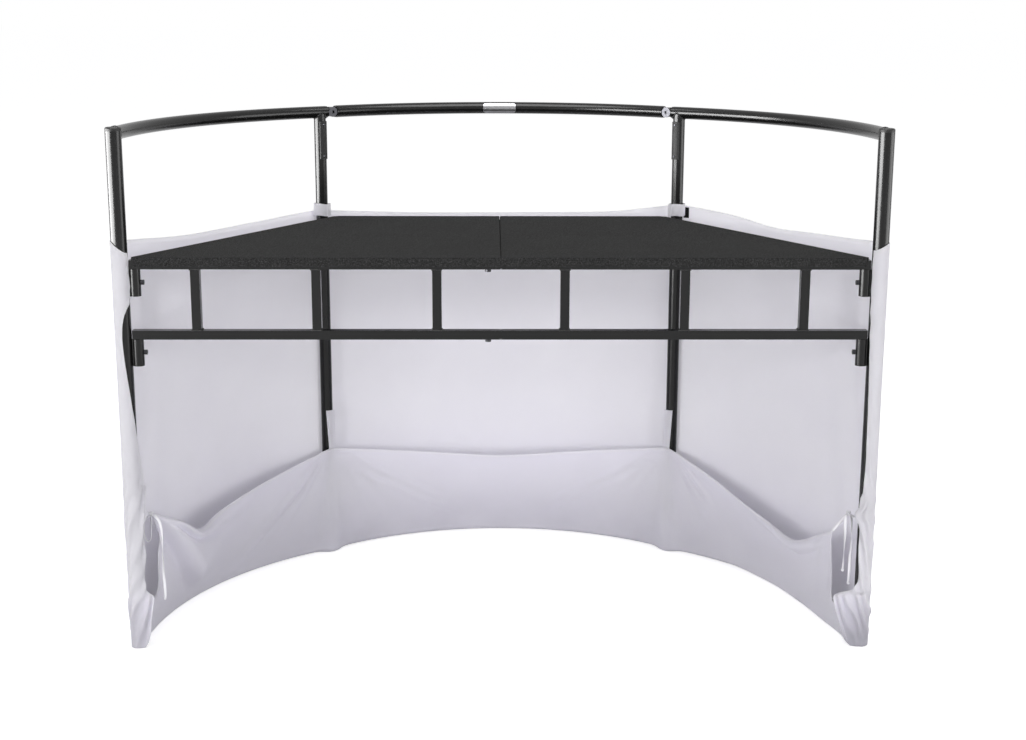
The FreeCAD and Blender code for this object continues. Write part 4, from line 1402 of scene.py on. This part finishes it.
strut_first = 0.140
strut_pitch = 0.263
strut_count = 3
square_tube = box_size("right_upper_tube").z
weld_steps = 40
bead_lift = 0.0006
saddle_lift = 0.0004
sleeve_weld_sink = 0.0015
sleeve_weld_spread = 0.0062
sleeve_weld_share = 0.96
strap_plate_stand_off = 0.0031
plate_screw_inset = 0.008
badge_stand_off = 0.0016
badge_screw_reach = 0.036


def sleeve_welds():
    """Upright beads on both sides of the line where each sleeve meets its end post."""
    lines = []
    for side in (1, -1):
        for level in ("upper", "lower"):
            node = "right_%s_sleeve" % level
            sleeve = box_middle(node)
            length = box_size(node).z * sleeve_weld_share
            toward = (right_end - on_floor(sleeve)).normalized()
            beside = toward.cross(UP) * sleeve_weld_spread
            seam = sleeve + toward * (box_size(node).x / 2 - sleeve_weld_sink)
            for foot in (seam + beside, seam - beside):
                lines.append([on_side(side, foot + UP * length * (step / weld_steps - 0.5))
                              for step in range(weld_steps + 1)])
    return lines


def mid_post_seam(angle, height, upward):
    """Point of the line where a mid post's end meets a rail."""
    around = wing_arc.heading(0) * math.cos(angle) + wing_arc.outward(0) * math.sin(angle)
    reach = mid_post_radius + bead_lift
    drop = math.sqrt(max(rail_radius ** 2 - (reach * math.sin(angle)) ** 2, 0.0))
    return right_mid + around * reach + UP * (height + upward * drop)


def end_post_seam(angle, height):
    """Point of the line where a rail's end meets an end post."""
    reach = rail_radius + saddle_lift
    across = math.sin(angle) * reach
    depth = math.sqrt(max(end_post_radius ** 2 - across ** 2, 0.0)) + saddle_lift
    foot = right_end - wing_arc.heading(wing_arc.span) * depth + wing_arc.outward(wing_arc.span) * across
    return foot + UP * (height + math.cos(angle) * reach)


def saddle_welds():
    """Beads round the lines where the rails and the posts meet."""
    lines = []
    turns = [2 * math.pi * step / weld_steps for step in range(weld_steps + 1)]
    for side in (1, -1):
        for height, upward in ((top_rail_height, -1), (bottom_rail_height, 1)):
            lines.append([on_side(side, mid_post_seam(turn, height, upward)) for turn in turns])
            lines.append([on_side(side, end_post_seam(turn, height)) for turn in turns])
    return lines


def strut_welds():
    """Square beads at both ends of each strut of the table."""
    lines = []
    half = square_tube / 2 + bead_lift
    row = box_middle("right_upper_tube").y
    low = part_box("right_lower_tube")[1].z + bead_lift
    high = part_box("right_upper_tube")[0].z - bead_lift
    for level in (low, high):
        for side in (1, -1):
            for index in range(strut_count):
                middle = Vector((side * (strut_first + strut_pitch * index), row, level))
                lines.append([middle + Vector((x * half, y * half, 0))
                              for x, y in ((-1, -1), (1, -1), (1, 1), (-1, 1), (-1, -1))])
    return lines


def strap_plate_screws():
    """Place and facing of the two screws in each strap plate."""
    outward = centre_arc.outward(centre_arc.span)
    face = right_mid - outward * (mid_post_radius + strap_plate_stand_off)
    low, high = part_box("right_strap_plate")
    return [(on_side(side, face + UP * height), on_side(side, -outward))
            for side in (1, -1) for height in (low.z + plate_screw_inset, high.z - plate_screw_inset)]


def badge_screws():
    """Place and facing of the screw at each end of the bare plate."""
    places = []
    for along in (-badge_screw_reach, badge_screw_reach):
        length = centre_arc.span / 2 + along
        place = centre_arc.at(length, -rail_radius - badge_stand_off, top_rail_height)
        places.append((place, -centre_arc.outward(length)))
    return places


welded("frame_welds", sleeve_welds() + saddle_welds(), "facade")
welded("table_welds", strut_welds(), "table")
screwed("strap_plate_screws", strap_plate_screws(), radius=0.0032, height=0.0018,
        finish=black_oxide)
screwed("badge_screws", badge_screws(), radius=0.0026, height=0.0012, finish=bare_metal)


# Camera, floor and light

def make_camera():
    camera = bpy.data.cameras.new("photo_camera")
    camera.sensor_fit = "HORIZONTAL"
    camera.sensor_width = sensor_width
    camera.lens = focal_pixels / photo_width * sensor_width
    camera.clip_end = 300
    right = Vector((math.cos(camera_yaw), math.sin(camera_yaw), 0))
    ahead = Vector((-math.sin(camera_yaw), math.cos(camera_yaw), 0))
    view_ahead = ahead * math.cos(camera_pitch) - UP * math.sin(camera_pitch)
    view_up = ahead * math.sin(camera_pitch) + UP * math.cos(camera_pitch)
    rolled_right = right * math.cos(camera_roll) + view_up * math.sin(camera_roll)
    rolled_up = view_up * math.cos(camera_roll) - right * math.sin(camera_roll)
    turn = Matrix((rolled_right, rolled_up, -view_ahead)).transposed().to_4x4()
    holder = bpy.data.objects.new("photo_camera", camera)
    bpy.context.scene.collection.objects.link(holder)
    holder.matrix_world = Matrix.Translation(camera_from_mid_line + Vector((0, mid_line, 0))) @ turn
    bpy.context.scene.camera = holder


def camera_sees(tree):
    """1 for rays that show the background: seen straight, in gloss or through glass."""
    path = tree.nodes.new("ShaderNodeLightPath")
    seen = math_node(tree, "MAXIMUM", path.outputs["Is Camera Ray"], path.outputs["Is Glossy Ray"])
    return math_node(tree, "MAXIMUM", seen, path.outputs["Is Transmission Ray"])


def make_world(light_level):
    world = bpy.data.worlds.new("studio")
    bpy.context.scene.world = world
    world.use_nodes = True
    tree = world.node_tree
    background = tree.nodes["Background"]
    background.inputs["Color"].default_value = (1, 1, 1, 1)
    feed(tree, background.inputs["Strength"], range_node(tree, camera_sees(tree), light_level, 1.0))


def make_floor(glow):
    mesh = bpy.data.meshes.new("studio_floor")
    half = 60.0
    corners = [(-half, -half, 0), (half, -half, 0), (half, half, 0), (-half, half, 0)]
    mesh.from_pydata(corners, [], [(0, 1, 2, 3)])
    floor = bpy.data.objects.new("studio_floor", mesh)
    bpy.context.scene.collection.objects.link(floor)
    material, tree, shader, coordinates = start_material("pale_floor")
    set_values(shader, {"Base Color": (0.66, 0.66, 0.67, 1), "Roughness": 0.9,
                        "Specular IOR Level": 0.0, "Emission Color": (1, 1, 1, 1)})
    feed(tree, shader["Emission Strength"], range_node(tree, camera_sees(tree), 0.0, glow))
    mesh.materials.append(material)


def make_lamp(name, place, target, size, power, kind):
    """Area lamp: a fill lights surfaces without showing in gloss, and a gleam shows only in gloss."""
    lamp = bpy.data.lights.new(name, "AREA")
    lamp.shape = "RECTANGLE"
    lamp.size, lamp.size_y = size
    lamp.energy = power
    holder = bpy.data.objects.new(name, lamp)
    bpy.context.scene.collection.objects.link(holder)
    holder.location = place
    holder.rotation_euler = (Vector(target) - Vector(place)).to_track_quat("-Z", "Y").to_euler()
    holder.visible_glossy = kind == "gleam"
    holder.visible_diffuse = kind == "fill"


booth_middle = (0.0, 0.0, 0.5)
booth_top = (0.0, 0.0, 0.6)

make_camera()
make_world(light_level=0.42)
make_floor(glow=0.72)
make_lamp("overhead_softbox", (0.0, -0.8, 3.4), booth_top, size=(3.0, 2.0), power=150, kind="gleam")
for name, x, power in (("left_front_lamp", -4.4, 312), ("right_front_lamp", 4.4, 288)):
    make_lamp(name, (x, -7.5, 2.2), booth_middle, size=(2.6, 2.6), power=power, kind="fill")
for name, x in (("left_back_lamp", -4.0), ("right_back_lamp", 4.0)):
    make_lamp(name, (x, 2.5, 2.2), booth_middle, size=(2.0, 2.0), power=60, kind="fill")
make_lamp("left_strip", (-3.8, -2.1, 1.0), (0.0, -2.1, 1.0), size=(5.2, 2.2), power=1100, kind="gleam")
make_lamp("right_strip", (3.8, -1.25, 1.0), (0.0, -1.25, 1.0), size=(3.0, 2.2), power=110, kind="gleam")

bpy.context.scene.view_settings.view_transform = "Standard"
